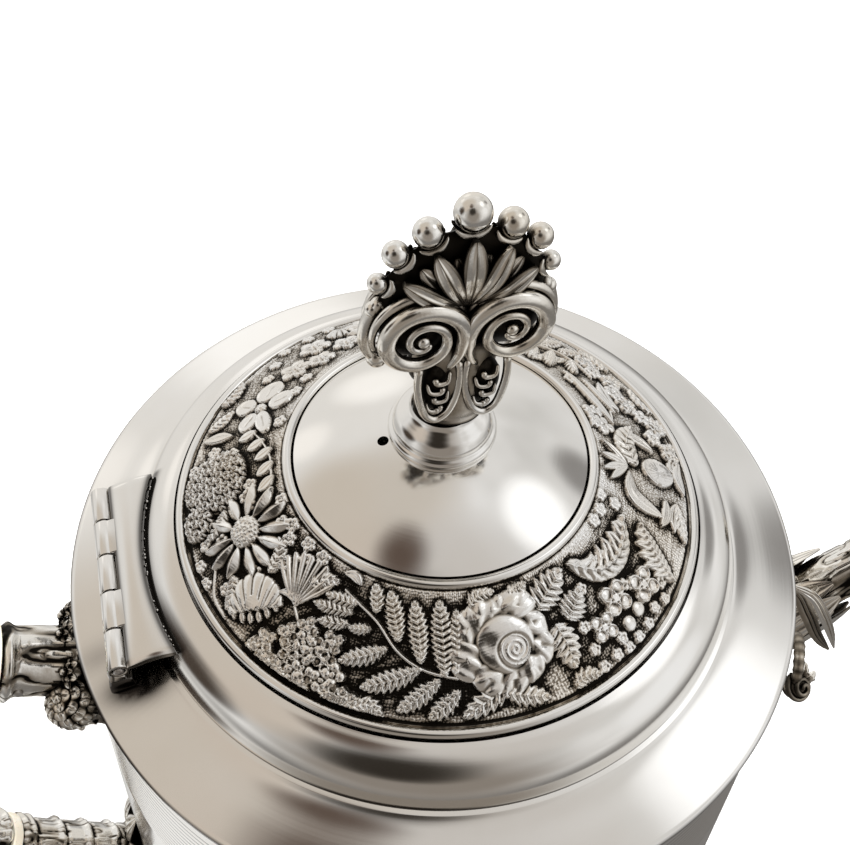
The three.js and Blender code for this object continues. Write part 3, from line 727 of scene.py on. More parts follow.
def along(x, y, line):
    """How far along a line each point lies, as a share, and its signed distance across."""
    start, step = line[:-1], np.diff(line, axis=0)
    length = np.linalg.norm(step, axis=1)
    run = np.concatenate([[0], np.cumsum(length)])
    best, t, across = np.full(x.shape, 1e9), np.zeros(x.shape), np.zeros(x.shape)
    for i in range(len(step)):
        px, py = x - start[i, 0], y - start[i, 1]
        u = np.clip((px * step[i, 0] + py * step[i, 1]) / length[i] ** 2, 0, 1)
        ex, ey = px - u * step[i, 0], py - u * step[i, 1]
        distance = np.hypot(ex, ey)
        near = distance < best
        best = np.where(near, distance, best)
        t = np.where(near, (run[i] + u * length[i]) / run[-1], t)
        across = np.where(near, np.sign(step[i, 0] * ey - step[i, 1] * ex) * distance, across)
    return t, across


def around(place, direction, distance):
    """The place a distance away on the band, in a direction."""
    turn = math.radians(direction)
    radius = place[1] - distance * math.sin(turn) / BAND_SLOPE
    return place[0] + math.degrees(distance * math.cos(turn) / radius), radius


def daisy(relief, place, directions, reach=8.0, first=2.7):
    """A daisy: a ridged petal in each direction, from the middle's radius to the reach, and a stippled middle."""
    for direction in directions:
        relief.leaf(
            [
                around(place, direction, first - 0.4), around(place, direction, (first + reach) / 2),
                around(place, direction, reach),
            ],
            2.55, 1.35, 0.3, fullest=0.5, tip=0.75, roof=True,
        )
    relief.ball(place, first, 1.5, 0.25, 0.45)


def fan_leaf(relief, apex, radius, start, end, ribs):
    """A ginkgo leaf: ribs fanning from the apex to a scalloped edge."""

    def shape(x, y):
        rho, angle = np.hypot(x, y), np.degrees(np.arctan2(y, x))
        share = (angle - start) / (end - start)
        scallop = np.abs(np.sin(math.pi * share * ribs))
        edge = radius * (0.9 + 0.1 * scallop) * (1 - 0.25 * (2 * share - 1) ** 4)
        h = 0.3 + 0.6 * (rho / radius) * scallop + 0.3 * np.sin(math.pi * np.clip(rho / edge, 0, 1))
        return np.where((share > 0) & (share < 1) & (rho < edge), h, 0)

    relief.stamp(apex, radius + 0.3, shape)


def hood(relief, place, radius, facing):
    """A domed cap with fine lines and a scalloped skirt of seeds on the side that it faces."""
    turn = math.radians(facing)

    def shape(x, y):
        u, v = rotated(x, y, turn)
        q = np.hypot(u, v) / radius
        lines = np.abs(np.sin(13 * np.arctan2(v, radius * 0.9 - u)))
        edge = 0.18 * radius + 0.35 * np.abs(np.sin(v * 2.6))
        h = 0.4 + 1.0 * cap(q) - 0.32 * (1 - lines) ** 2 * (q > 0.25)
        return np.where((q < 1) & (u < edge), h, 0)

    relief.stamp(place, radius + 0.2, shape)
    for k in range(6):
        across = (k - 2.5) * radius * 0.3
        seed = around(around(place, facing, radius * (0.42 - 0.04 * (k - 2.5) ** 2)), facing + 90, across)
        relief.leaf([around(seed, facing, -0.9), seed, around(seed, facing, 1.1)], 0.95, 0.8, 0.35)


def rose(relief, place, petals):
    """An open rose: round outer petals, a deep bowl and a spiral bud. petals are (direction, distance, size)."""
    for k, (direction, distance, size) in enumerate(petals):
        turn = math.radians(direction)
        middle = around(place, direction, distance)

        def bulge(x, y):
            u, v = rotated(x, y, turn)
            q = np.hypot(u / (size * 0.5), v / (size * 0.62))
            h = (
                0.35 + (0.75 + 0.1 * (k % 3)) * cap(q) - 0.16 * bell(v - 0.2, 0.45) * (u > 0) + 0.1
                * np.sin(1.9 * u + 2.3 * v + k)
            )
            return np.where(q < 1, h, 0)

        relief.stamp(middle, size, bulge)

    def bowl(x, y):
        q = np.hypot(x, y) / 4.6
        h = (
            0.5 + 1.15 * cap(q, 3) - 0.2 * bell(np.hypot(x - 1.0, y + 1.2) - 2.5, 0.3) - 0.3
            * bell(np.hypot(x + 2.6, y - 0.4), 1.5)
        )
        return np.where(q < 1, h, 0)

    def bud(x, y):
        rho, angle = np.hypot(x, y), np.arctan2(y, x)
        spiral = np.sin(2 * math.pi * rho / 0.8 - angle)
        h = 1.65 + 0.26 * spiral - 0.1 * rho
        return np.where(rho < 2.3, h, 0)

    relief.stamp(place, 4.8, bowl)
    relief.stamp(around(place, -40, 1.5), 2.4, bud)


def serrated(relief, places, width):
    """A toothed leaf with slanting veins."""
    relief.leaf(places, width, 0.95, 0.3, teeth=6, veins=6, fullest=0.42, tip=0.55)


def fern(relief, stem_places, leaflets):
    """A frond. Each leaflet is (base, tip, width)."""
    for base, tip, width in leaflets:
        middle = ((base[0] + tip[0]) / 2 + 0.35, (base[1] + tip[1]) / 2)
        reach = math.hypot(math.radians(base[0] - tip[0]) * 33, (base[1] - tip[1]) * BAND_SLOPE)
        count = max(5, int(reach / 0.85))
        relief.leaf([base, middle, tip], width * 1.42, 1.05, 0.25, teeth=count, veins=count, tip=0.5)
    relief.stem(stem_places, 0.6, 0.75)


def seed_cone(relief, place, radius):
    """A round seed head covered in rows of hollow cells."""

    def shape(x, y):
        q = np.hypot(x, y) / radius
        row = np.round(y / 1.45)
        u, v = x / 1.65 - 0.5 * (row % 2), y / 1.45
        swing = 0.16 * np.sin(3.1 * row + 1.7 * np.round(u))
        away = np.hypot(u - np.round(u) - swing, v - row)
        ring = bell(away - 0.33, 0.12) - 1.5 * bell(away, 0.19) - 0.7 * (away > 0.52)
        h = 0.45 + 0.9 * cap(q) + 0.5 * ring
        return np.where(q < 1, h, 0)

    relief.stamp(place, radius + 0.2, shape)


def open_flower(relief, place, petals, seed=1.2):
    """A loose flower: each petal is (direction, distance, length, width)."""
    for direction, distance, length, width in petals:
        relief.petal(place, direction, distance, length, width, 0.8, 0.3, 3)
    relief.ball(place, seed, 0.95, 0.15)


def lily(relief, origin):
    """A lily on its side: an outer leaf, a bowl and a broad petal with a drawn-out tip."""
    a, r = origin
    relief.leaf([(a - 9, r + 3.8), (a - 6.5, r - 1.8), (a + 1.2, r - 2.6)], 3.0, 0.95, 0.3, dish=0.5)
    relief.petal((a + 5, r + 3.6), 90, 0.3, 7.0, 5.6, 0.8, 0.3, 4)
    relief.leaf([(a + 4, r - 1.0), (a + 12, r - 2.0), (a + 20, r + 0.8)], 4.6, 0.9, 0.35, veins=7, fullest=0.4)
    relief.leaf([(a - 11, r + 6.2), (a - 6.5, r + 5.6), (a - 2, r + 6.4)], 1.8, 0.6)
    relief.leaf([(a + 5.5, r + 7.4), (a + 8.5, r + 6.5), (a + 11.5, r + 7.2)], 1.8, 0.6)


def berries(relief, place, count, spread):
    """A round cluster of small balls."""
    for k in range(count):
        turn = 137.5 * k
        relief.ball(around(place, turn, spread * math.sqrt(k / count)), 0.95, 0.8)


def sheaf(relief, spine, width):
    """A bent leaf with a smooth outer edge and long teeth on the inner one."""
    origin = spine[len(spine) // 2]
    line = smooth_line([relief.local(a, r, origin) for a, r in spine], 6)

    def shape(x, y):
        t, d = along(x, y, line)
        inner = d > 0
        teeth = 0.62 + 0.38 * np.abs(1 - 2 * ((t * 6 - np.abs(d) * 0.22) % 1.0))
        half = width / 2 * np.sin(math.pi * np.clip(t, 0, 1)) ** 0.6 * np.where(inner, teeth * 1.15, 0.7) + 1e-6
        c = np.abs(d) / half
        lines = np.abs(np.sin(math.pi * (t * 11 - np.abs(d) * 0.5)))
        h = 0.3 + (0.4 + 0.35 * lines) * cap(c, 3) + 0.3 * bell(d, 0.3)
        return np.where(c < 1, h, 0)

    relief.stamp(origin, np.abs(line).max() + width, shape)


def carve_flowers(relief):
    """Every plant of the band, as (azimuth, radius) places."""
    ring = range(0, 360, 30)
    daisy(relief, (188.3, 33.2), (92, 62, 35, 6, -18, -50, -75, -98, -135, 190, 155, 123))
    fan_leaf(relief, (214.4, 34.1), 8.0, 55, 155, 9)
    relief.stem([(214.4, 34.1), (217.2, 35.2), (219.8, 35.9)])
    relief.leaf([(208.5, 33.9), (211, 33.2), (213.7, 33.6)], 1.3)
    hood(relief, (205.6, 37.4), 4.7, -40)
    relief.leaf([(211.5, 40.6), (213.5, 39.5), (215.5, 38.6)], 1.3)
    relief.stem([(191.7, 39.5), (197, 41.4), (202, 41.7)])
    for place in (
        (181, 40.8), (184.6, 39.6), (188.5, 41.3), (193, 41.6), (197.5, 39.4), (199.5, 34.6), (201.5, 31.2)
    ):
        relief.floret(place, 1.15, 5)
    florets = (
        (220.7, 35.2), (224, 37.3), (227.8, 35.3), (219.3, 38.7), (224, 39.8), (227.8, 37.8), (224.9, 41.4),
        (228.7, 40.1), (218.9, 40.9), (215.6, 41.2), (221.5, 37.0), (231.2, 41.3), (217.2, 37.2), (222.0, 41.6),
        (226.2, 36.6), (221.6, 38.9), (230.6, 38.9), (234.6, 41.2), (213.4, 39.6),
    )
    for k, place in enumerate(florets):
        relief.floret(place, 1.95, 4, 1.0, 0.4 * k, rim=k % 3 != 1)
    leaflets = (
        ((236, 30), (232.8, 26.4), 1.7), ((243.6, 32.8), (238, 26.7), 2.1), ((249.7, 35), (245.9, 27.3), 2.2),
        ((255.3, 36.4), (253.4, 27), 2.6), ((258, 36.2), (258.4, 28.1), 1.9), ((236, 32), (230, 32.8), 1.4),
        ((241.2, 33.7), (230.5, 37), 2.0), ((249.7, 35.6), (237, 39.2), 2.2), ((254.3, 36.7), (245.4, 41.0), 2.0),
        ((258.6, 38.1), (252, 41.5), 2.0), ((230, 29.8), (220.3, 30.3), 1.7), ((230, 30.9), (218.4, 32), 1.7),
        ((230, 32.4), (221.7, 33.6), 1.6),
    )
    fern(relief, [(225, 28.7), (230, 29.5), (236.6, 30.9), (243.6, 33.9), (249.7, 35.6), (258.1, 36.7)], leaflets)
    relief.leaf([(229, 27.4), (225.5, 26.6), (222, 26.9)], 1.6)
    rose(
        relief, (270.6, 33.3),
        [
            (150, 5.8, 5.2), (192, 6.2, 5.6), (232, 5.6, 4.8), (268, 5.2, 5.0), (18, 5.0, 4.4), (58, 5.6, 5.2),
            (90, 5.2, 4.2), (120, 5.4, 4.6), (305, 5.0, 4.4), (340, 5.4, 4.8),
        ]
    )
    serrated(relief, [(281.8, 30.6), (286, 29.3), (294.4, 27.6)], 4.8)
    serrated(relief, [(288.4, 33.6), (291.5, 32.6), (296.0, 31.2)], 4.4)
    serrated(relief, [(284.6, 33.2), (285.2, 36), (284.8, 39.4)], 4.6)
    serrated(relief, [(269.6, 38.4), (264.5, 39.6), (258.8, 41.4)], 3.4)
    serrated(relief, [(268.4, 39.2), (272, 39.9), (277.4, 41.2)], 3.2)
    sheaf(relief, [(296.6, 27.6), (304.6, 31.2), (314, 31.9), (324.6, 30.2)], 6.6)
    for place, size in (((302.9, 35.4), 3.0), ((311.6, 37.4), 3.0), ((295.7, 37.1), 2.5)):
        relief.floret(place, size, 4, 0.9, 0.6, rim=True)
    for place in ((302, 39.2), (306.2, 38.8)):
        relief.ball(place, 1.2, 0.6)
    small = (
        (291, 38.7), (295, 41.0), (291, 41.2), (298.2, 39.8), (301.8, 41.4), (305.7, 41.2), (309.6, 40.6),
        (313.2, 41.3), (315.6, 39.6), (298.3, 41.5), (296.5, 31.4), (291.4, 35.6), (307.5, 35.2),
    )
    for k, place in enumerate(small):
        relief.floret(place, 1.1, 5, 0.5, 0.5 * k)
    sheaf(relief, [(317.8, 41.2), (320.4, 37), (325.8, 33.2)], 5.4)
    for place in ((316.5, 26.9), (321.7, 27.1), (327.3, 26.4), (327.3, 29.0)):
        relief.floret(place, 1.25, 5, 0.4)
    lily(relief, (341.0, 33.4))
    berries(relief, (360.8, 27.6), 9, 3.0)
    relief.leaf([(366.5, 33.8), (372, 33.2), (379.6, 34.6)], 2.6, 0.7)
    relief.leaf([(366.5, 37.4), (372.5, 36.6), (379.6, 38.4)], 2.8, 0.7)
    relief.stem([(358, 30), (364.5, 31.6), (371, 32.5)], 0.45)
    seed_cone(relief, (178.6, 40.0), 3.0)
    seed_cone(relief, (168.6, 36.8), 6.1)
    for place in ((155.1, 32.6), (159.7, 30.5), (164.6, 28.8), (170.9, 28.4), (176.9, 28.4)):
        relief.leaf([around(place, 115, 1.9), place, around(place, -65, 1.7)], 2.2, 0.9, dish=0.5)
    relief.stem([(151, 33.4), (158, 29.8), (167, 27.6), (178, 27.6)], 0.4)
    open_flower(
        relief, (143.9, 32.6),
        [
            (35, 3.9, 5.8, 3.2), (-20, 3.4, 4.6, 3.6), (-100, 3.9, 4.6, 4.0), (190, 4.4, 5.8, 5.2),
            (120, 3.9, 4.8, 4.2),
        ]
    )
    relief.leaf([(153.4, 35.6), (153.0, 38.4), (153.6, 41.2)], 2.4, 0.7)
    relief.leaf([(150.5, 41.2), (147.5, 39.6), (143.5, 38.2)], 2.8, 0.7, veins=6)
    serrated(relief, [(142, 41.3), (137.8, 40.6), (132.8, 41.0)], 2.4)
    for place, size in (((125.3, 32.6), 2.9), ((117.6, 30.4), 2.4), ((113.4, 35.9), 2.9), ((106, 31.6), 2.6)):
        open_flower(relief, place, [(d, size * 0.62, size, size * 0.9) for d in range(0, 360, 72)], 0.8)

    relief.leaf([(27, 29.4), (15.1, 29.4), (359.4 - 360, 30.4)], 2.3, 0.9)
    relief.leaf([(22, 31.6), (14, 31.8), (5, 32.4)], 1.7, 0.8)
    for k, (az, r) in enumerate(
        (
            (28.6, 37.4), (24.1, 36.4), (19.0, 37.8), (14.6, 35.6), (9.6, 36.4), (5.4, 38.2), (2.3, 40.2),
            (358.2, 38.2), (354.0, 40.6)
        )
    ):
        relief.floret((az, r), 1.9 if k % 2 else 2.3, 5, 0.85, 0.9 * k, rim=k % 2 == 0)
    for place in ((1.5, 26.9), (358.0, 28.2), (5.4, 28.3), (4.6, 26.6)):
        relief.floret(place, 1.4, 4, 0.7, 0.3)
    for tip in ((351.4, 26.6), (344.8, 25.9), (338.6, 26.2), (335.4, 27.6)):
        relief.leaf([(343.6, 30.8), ((tip[0] + 343.6) / 2 + 0.8, (tip[1] + 30.8) / 2), tip], 1.5, 0.8)
    relief.leaf([(351.6, 41.6), (347.4, 40.6), (341.5, 41.2)], 2.2, 0.85)
    relief.leaf([(338.4, 39.4), (333.6, 40.4), (328.4, 41.6)], 2.4, 0.85, veins=6)
    relief.leaf([(338.2, 37.4), (333.5, 37.8), (329.0, 37.0)], 2.0, 0.8)
    relief.leaf([(352.6, 36.8), (355.8, 34.6), (357.2, 31.6)], 2.4, 0.85)
    relief.leaf([(34.5, 40.6), (29.6, 41.2), (23.6, 40.6)], 2.4, 0.8, veins=6)
    relief.leaf([(16.6, 40.8), (12.0, 40.6), (7.2, 41.6)], 2.0, 0.8, veins=5)
    relief.leaf([(31.0, 33.4), (34.6, 30.6), (37.2, 27.4)], 2.6, 0.8, veins=6)
    for az, r in (
        (181.5, 31.4), (177.6, 31.9), (186.2, 36.9), (174.2, 31.0), (199.6, 28.4), (204.4, 30.8), (193.4, 28.0),
        (208.6, 28.6), (160.2, 34.6), (162.4, 41.4), (158.0, 38.2)
    ):
        relief.floret((az, r), 1.3, 5, 0.6, az)
    for spine in (
        [(178.6, 35.2), (182.2, 36.8), (184.2, 39.2)], [(196.4, 37.4), (199.2, 38.6), (201.6, 40.8)],
        [(203.2, 33.2), (201.0, 30.6), (197.0, 29.2)], [(214.6, 30.6), (218.0, 29.0), (222.6, 28.2)],
        [(210.4, 42.0), (212.4, 40.8), (216.6, 42.0)], [(236.4, 42.0), (239.6, 41.0), (243.0, 42.0)],
        [(262.4, 28.0), (266.0, 26.8), (271.0, 26.6)], [(274.6, 27.0), (278.0, 27.4), (281.6, 26.8)],
        [(283.0, 41.4), (286.4, 40.8), (289.6, 41.6)]
    ):
        serrated(relief, spine, 2.6)

    # The far side carries the same plants again.
    daisy(relief, (92.5, 34.8), [d + 8 for d in ring], 6.8, 2.3)
    fan_leaf(relief, (102, 39.8), 5.6, 30, 140, 7)
    rose(relief, (71.0, 33.4), [(d, 4.2, 4.1) for d in range(10, 370, 40)])
    serrated(relief, [(80.2, 32.4), (82, 29.6), (85.5, 27.0)], 3.8)
    serrated(relief, [(61.0, 35.2), (57.4, 37.8), (53.0, 40.8)], 4.2)
    serrated(relief, [(81.0, 37.6), (82.5, 39.6), (86.5, 41.5)], 3.4)
    back = (
        ((47, 31), (44, 26.8), 1.9), ((42, 32.2), (37.5, 26.8), 2.0), ((36.5, 33.4), (31.5, 28), 2.0),
        ((47.6, 33), (44.5, 38), 2.0), ((42.4, 34.2), (38.5, 39.6), 2.1), ((36, 35.2), (31.5, 40.2), 2.0),
        ((30.5, 35.6), (24.5, 38.4), 1.8), ((30.5, 34.2), (24.5, 31.4), 1.8),
    )
    fern(relief, [(56, 29.6), (48, 32), (40, 34), (30, 35), (22, 34.4)], back)
    for k, place in enumerate(
        (
            (100, 35), (104.5, 41.2), (64, 27.4), (60.5, 31.2), (55.4, 34), (49, 41.2), (26, 41), (22.4, 29),
            (97.6, 28), (111, 40.8), (118.5, 40.8), (124.5, 38.6), (130.6, 36.6), (128.6, 28.4), (136, 28),
            (151, 27.4), (186, 26.8), (196.5, 27), (206, 26.9), (213, 26.9)
        )
    ):
        relief.floret(place, 1.3, 5, 0.5, 0.7 * k)


def make_flower_band():
    """The band: flowers over a stippled ground, blackened as patina where it lies below what is round it, and
    painted darker on one side as shade.
    """
    rows, columns = ((150, 1800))
    relief = Relief(rows, columns)
    carve_flowers(relief)
    flowers = relief.height
    angle = np.radians(relief.azimuth)[None, :]
    radius = relief.radius[:, None]
    x, y = angle * radius, (BAND_OUTER[0] - radius) * BAND_SLOPE + 0 * angle
    cells = 2 * math.pi * 34 / 0.4
    stipple = bumps(angle / (2 * math.pi) * cells, y / 0.4, 1)
    ground = np.where(flowers > 0, 0, 0.13 * stipple + 0.08 * noise(x * 1.1, y * 1.1, 8))
    hammered = 0.03 * (noise(x * 2.1, y * 2.1, 4) - 0.5)
    height = np.maximum(flowers, ground) + hammered
    border = np.minimum(y, y.max() - y)
    height = height * np.clip((border - 0.3) / 0.4, 0, 1) - 0.3 - 0.25 * bell(border - 0.35, 0.3)

    fine = max(1, rows // 50)
    hollow = blurred(height, 2 * fine) - height
    wide = blurred(height, 5 * fine) - height
    # side paints the ground darker towards azimuth 150 degrees, as painted shade; hollow, wide and the border are
    # patina in the hollows.
    side = 0.5 - 0.5 * np.cos(angle - math.radians(330))
    dark = (
        0.05 + hollow * 3.8 + wide * 0.65
        + np.where(flowers > 0, 0, 0.1 + 0.2 * side + 0.3 * (noise(x * 2.6, y * 2.6, 5) - 0.5))
    )
    dark = np.clip(dark + 0.8 * bell(border - 0.35, 0.25), 0, 1)

    normal = np.array([BAND_INNER[1] - BAND_OUTER[1], BAND_OUTER[0] - BAND_INNER[0]])
    normal = normal / np.linalg.norm(normal)
    base = (
        BAND_OUTER[1] + (BAND_INNER[1] - BAND_OUTER[1]) * (BAND_OUTER[0] - radius) / (BAND_OUTER[0] - BAND_INNER[0])
    )
    r, z = radius + normal[0] * height, base + normal[1] * height
    back = 1.4
    r = np.vstack([r, np.full((1, columns), BAND_INNER[0]), np.full((1, columns), BAND_OUTER[0])])
    z = np.vstack([z, np.full((1, columns), BAND_INNER[1] - back), np.full((1, columns), BAND_OUTER[1] - back)])
    dark = np.vstack([dark, np.zeros((2, columns))])
    points = np.stack([r * np.cos(angle), r * np.sin(angle), z], -1).reshape(-1, 3)
    faces = grid_faces(rows + 2, columns, True, True)
    piece = mesh_piece("chased_flower_band", points, faces, "lid", CHASED, ["flower_band"], sharp=80)
    paint(piece, dark)


# ---- Closed shells gathered into one piece -------------------------------------------------------------

def unit(v):
    """The directions of vectors."""
    return v / np.maximum(np.linalg.norm(v, axis=-1, keepdims=True), 1e-9)


ROSETTE_LIFT = 0.9  # how far a small flower's petals rise from layer to layer


class Shells:
    """Closed shells that make one cast piece."""

    def __init__(self):
        self.points, self.faces, self.count = [], [], 0
        # shade paints patina and painted shade: grounds, hollows and gaps of the castings made black where shade
        # falls.
        self.dark, self.shade = [], 0.0  # how black the next shells are, from 0 to 1

    def add(self, points, faces):
        """One more closed shell, as black as the shade says."""
        self.points.append(points)
        self.dark.append(np.full(len(points), self.shade))
        self.faces += [tuple(int(k) + self.count for k in f) for f in faces]
        self.count += len(points)

    def loops(self, rings):
        """A skin over rings of points, closed by a flat face at each end."""
        rows, columns = rings.shape[:2]
        faces = [tuple(f) for f in grid_faces(rows, columns, False, True)]
        faces += [tuple(range(columns))[::-1], tuple(range((rows - 1) * columns, rows * columns))]
        self.add(rings.reshape(-1, 3), faces)

    def ball(self, middle, radius, steps, surface=None):
        """A ball or egg. surface adds to the radius by direction."""
        a = full_turn(steps)[None, :]
        b = np.linspace(0, math.pi, steps // 2 + 1)[1:-1][:, None]
        way = np.stack([np.sin(b) * np.cos(a), np.sin(b) * np.sin(a), np.cos(b) + 0 * a], -1)
        poles = np.array([[0, 0, 1], [0, 0, -1]])
        size = np.array(radius, float) * np.ones(3)
        grow = 0 if surface is None else surface(way)[..., None]
        skin = middle + way * (size + grow)
        rows, columns = skin.shape[:2]
        top, bottom = rows * columns, rows * columns + 1
        faces = [tuple(f) for f in grid_faces(rows, columns, False, True)]
        faces += [(top, (k + 1) % columns, k) for k in range(columns)]
        last = (rows - 1) * columns
        faces += [(bottom, last + k, last + (k + 1) % columns) for k in range(columns)]
        self.add(np.vstack([skin.reshape(-1, 3), middle + poles * size]), faces)

    def tube(self, path, radius, sides, flat=1.0, facing=(0, -1, 0), round_ends=True):
        """A bar along a path. flat squeezes it towards the facing direction."""
        path = np.asarray(path, float)
        radius = np.ones(len(path)) * radius
        ahead = unit(np.gradient(path, axis=0))
        across = unit(np.cross(ahead, np.array(facing, float)))
        out = np.cross(across, ahead)
        if round_ends:
            run = np.concatenate([[0], np.cumsum(np.linalg.norm(np.diff(path, axis=0), axis=1))])
            rest = np.minimum(run, run[-1] - run)
            radius = radius * np.sqrt(np.clip(1 - (1 - np.clip(rest / radius, 0, 1)) ** 2, 0.02, 1))
        a = full_turn(sides)[None, :, None]
        rings = (
            path[:, None] + radius[:, None, None] * (np.cos(a) * across[:, None] + flat * np.sin(a) * out[:, None])
        )
        self.loops(rings)

    def blade(self, spine, width, facing, crown, thick, ribs, teeth=0, fullest=0.45, tip=0.75, cup=0.0, across=9):
        """A leaf along a spine that faces a direction, ribbed, toothed and cupped as asked."""
        spine = smooth_line(spine, 8) if len(spine) > 2 else np.linspace(spine[0], spine[1], 14)
        t = np.linspace(0, 1, len(spine))
        ahead = unit(np.gradient(spine, axis=0))
        side = unit(np.cross(ahead, np.array(facing, float)))
        out = np.cross(side, ahead)
        half = width / 2 * np.sin(math.pi * np.clip(t, 0.015, 0.985) ** (math.log(0.5) / math.log(fullest))) ** tip
        if teeth:
            half = half * (0.8 + 0.3 * ((t * teeth) % 1.0))
        c = np.linspace(-1, 1, 2 * across + 1)[None, :]
        rise = crown * (1 - c**2) + cup * c**2 * (1 - c**2)
        for rib in ribs:
            rise = rise + 0.28 * bell(np.abs(c) - rib, 0.13) - 0.12 * bell(np.abs(c) - rib - 0.27, 0.12)
        rise = (
            rise * np.sin(math.pi * np.clip(t, 0.03, 0.97))[:, None] ** 0.5
            * np.clip(half / (width / 2), 0.15, 1)[:, None]
        )
        rise = rise + cup * (np.abs(c) ** 2) * (half / (width / 2))[:, None]
        drop = (
            thick * np.sqrt(1 - c[:, 1:-1] ** 2) - cup * (np.abs(c[:, 1:-1]) ** 2) * (half / (width / 2))[:, None]
        )
        upper = spine[:, None] + side[:, None] * (c * half[:, None])[..., None] + out[:, None] * rise[..., None]
        inner = c[:, 1:-1] * half[:, None]
        lower = spine[:, None] + side[:, None] * inner[..., None] - out[:, None] * drop[..., None]
        self.loops(np.concatenate([upper, lower[:, ::-1]], axis=1))

    def rosette(self, middle, facing, radius, petals, layers, turn):
        """A small cast flower on a surface: rings of cupped petals about a seed."""
        facing = unit(np.array(facing, float))
        first = unit(np.cross(facing, (0.1, 0.2, 1.0)))
        second = np.cross(facing, first)
        for layer in range(layers):
            size = radius * (1 - 0.36 * layer)
            base = middle + facing * 0.55 * ROSETTE_LIFT * layer
            for k in range(petals):
                a = 2 * math.pi * (k + 0.5 * layer) / petals + turn
                way = math.cos(a) * first + math.sin(a) * second
                spine = [
                    base + way * size * 0.15, base + way * size * 0.6 + facing * ROSETTE_LIFT * 0.55,
                    base + way * size + facing * ROSETTE_LIFT * 0.35,
                ]
                self.blade(
                    spine, 2 * math.pi * size / petals * 0.62, facing, 0.25, 0.3, (0.0,), fullest=0.6, tip=0.5,
                    cup=0.35, across=5
                )
        self.ball(middle + facing * (0.55 * ROSETTE_LIFT * layers + 0.1), radius * 0.24, 16)

    def moved(self, change):
        """These shells with their points changed."""
        self.points = [change(p) for p in self.points]
        return self

    def make(self, name, body, finish, replaces, sharp=50):
        """The piece made of all the shells."""
        piece = mesh_piece(name, np.vstack(self.points), self.faces, body, finish, replaces, sharp)
        if max(shade.max() for shade in self.dark) > 0:
            paint(piece, np.concatenate(self.dark))
        return piece


# ---- Finial -----------------------------------------------------------------------------------------------

LEAN = math.radians(2.5)
NECK_Z = RIM_Z + 35
FAN_Z = RIM_Z + 57
VOLUTE = (6.4, RIM_Z + 53.3)
PALMETTE_SHIFT = 0.75
# angle, reach, radius
FAN_BALLS = ((0, 14.3, 2.6), (25.8, 13.2, 2.1), (47.7, 13.4, 1.85), (70, 12.9, 1.45), (91, 12.6, 1.2))


def leaning(points):
    """The points with the finial's small lean and its place off the axis."""
    x, y, z = points.T
    x, up = x + PALMETTE_SHIFT, z - NECK_Z
    return np.stack(
        [x * math.cos(LEAN) + up * math.sin(LEAN), y, NECK_Z + up * math.cos(LEAN) - x * math.sin(LEAN)], -1
    )


def make_finial_foot():
    """The turned spool under the finial."""
    z = RIM_Z + 28.6
    outline = [
        (2.0, z + 0.6), (7.4, z + 0.25), (8.2, z + 0.3), (8.6, z + 0.75), (8.55, z + 1.3), (8.2, z + 1.75),
        (7.95, z + 1.85), (7.8, z + 2.1), (7.85, z + 2.4),
        *smooth_line([(7.75, z + 2.9), (7.1, z + 4.0), (6.1, z + 4.9), (5.35, z + 5.6), (5.0, z + 6.3)], 6),
        (2.0, z + 6.35),
    ]
    turned("finial_foot_bell", outline, "lid", POLISHED, ["finial_foot"], steps=160, sharp=50)


def volute(shells, side, face):
    """A spiral scroll on one side and one face, with its bowl, fillet and eye."""
    turns = (
        (-62, 8.3), (-20, 6.3), (45, 5.4), (90, 5.2), (180, 5.1), (270, 4.6), (360, 3.4), (450, 2.7), (540, 2.0),
        (630, 1.4), (700, 0.9)
    )
    degrees = np.linspace(-62, 700, 140)
    rho = np.interp(degrees, *np.array(turns).T)
    angle = np.radians(degrees)
    depth = 3.2 + 1.3 * (1 - rho / 8.3)
    x = side * (VOLUTE[0] - rho * np.cos(angle))
    path = np.stack([x, -face * depth, VOLUTE[1] + rho * np.sin(angle)], -1)
    width = np.interp(degrees, (-62, 0, 180, 360, 540, 700), (0.5, 1.3, 1.35, 0.75, 0.55, 0.4))
    shells.tube(path, width, 14, 0.9, (0, -face, 0))
    over = np.radians(np.linspace(-8, 200, 50))
    lip = [side * (VOLUTE[0] - 6.75 * np.cos(over)), -face * (2.2 + 0 * over), VOLUTE[1] + 6.6 * np.sin(over)]
    shells.tube(np.stack(lip, -1), 0.35 + 0.45 * np.sin(np.linspace(0, math.pi, 50)), 12, 1.0, (0, -face, 0))
    shells.ball(np.array([side * VOLUTE[0], -face * 4.0, VOLUTE[1]]), (0.95, 0.9, 0.95), 18)
    # The bowl behind the scroll is painted dark, as patina and shade.
    shells.shade = 0.75
    shells.ball(np.array([side * VOLUTE[0], -face * 0.8, VOLUTE[1]]), (5.4, 2.0, 5.4), 36)
    shells.shade = 0.0


def fan_way(degrees):
    """The direction at an angle from straight up, across the fan."""
    return np.array([math.sin(math.radians(degrees)), 0, math.cos(math.radians(degrees))])


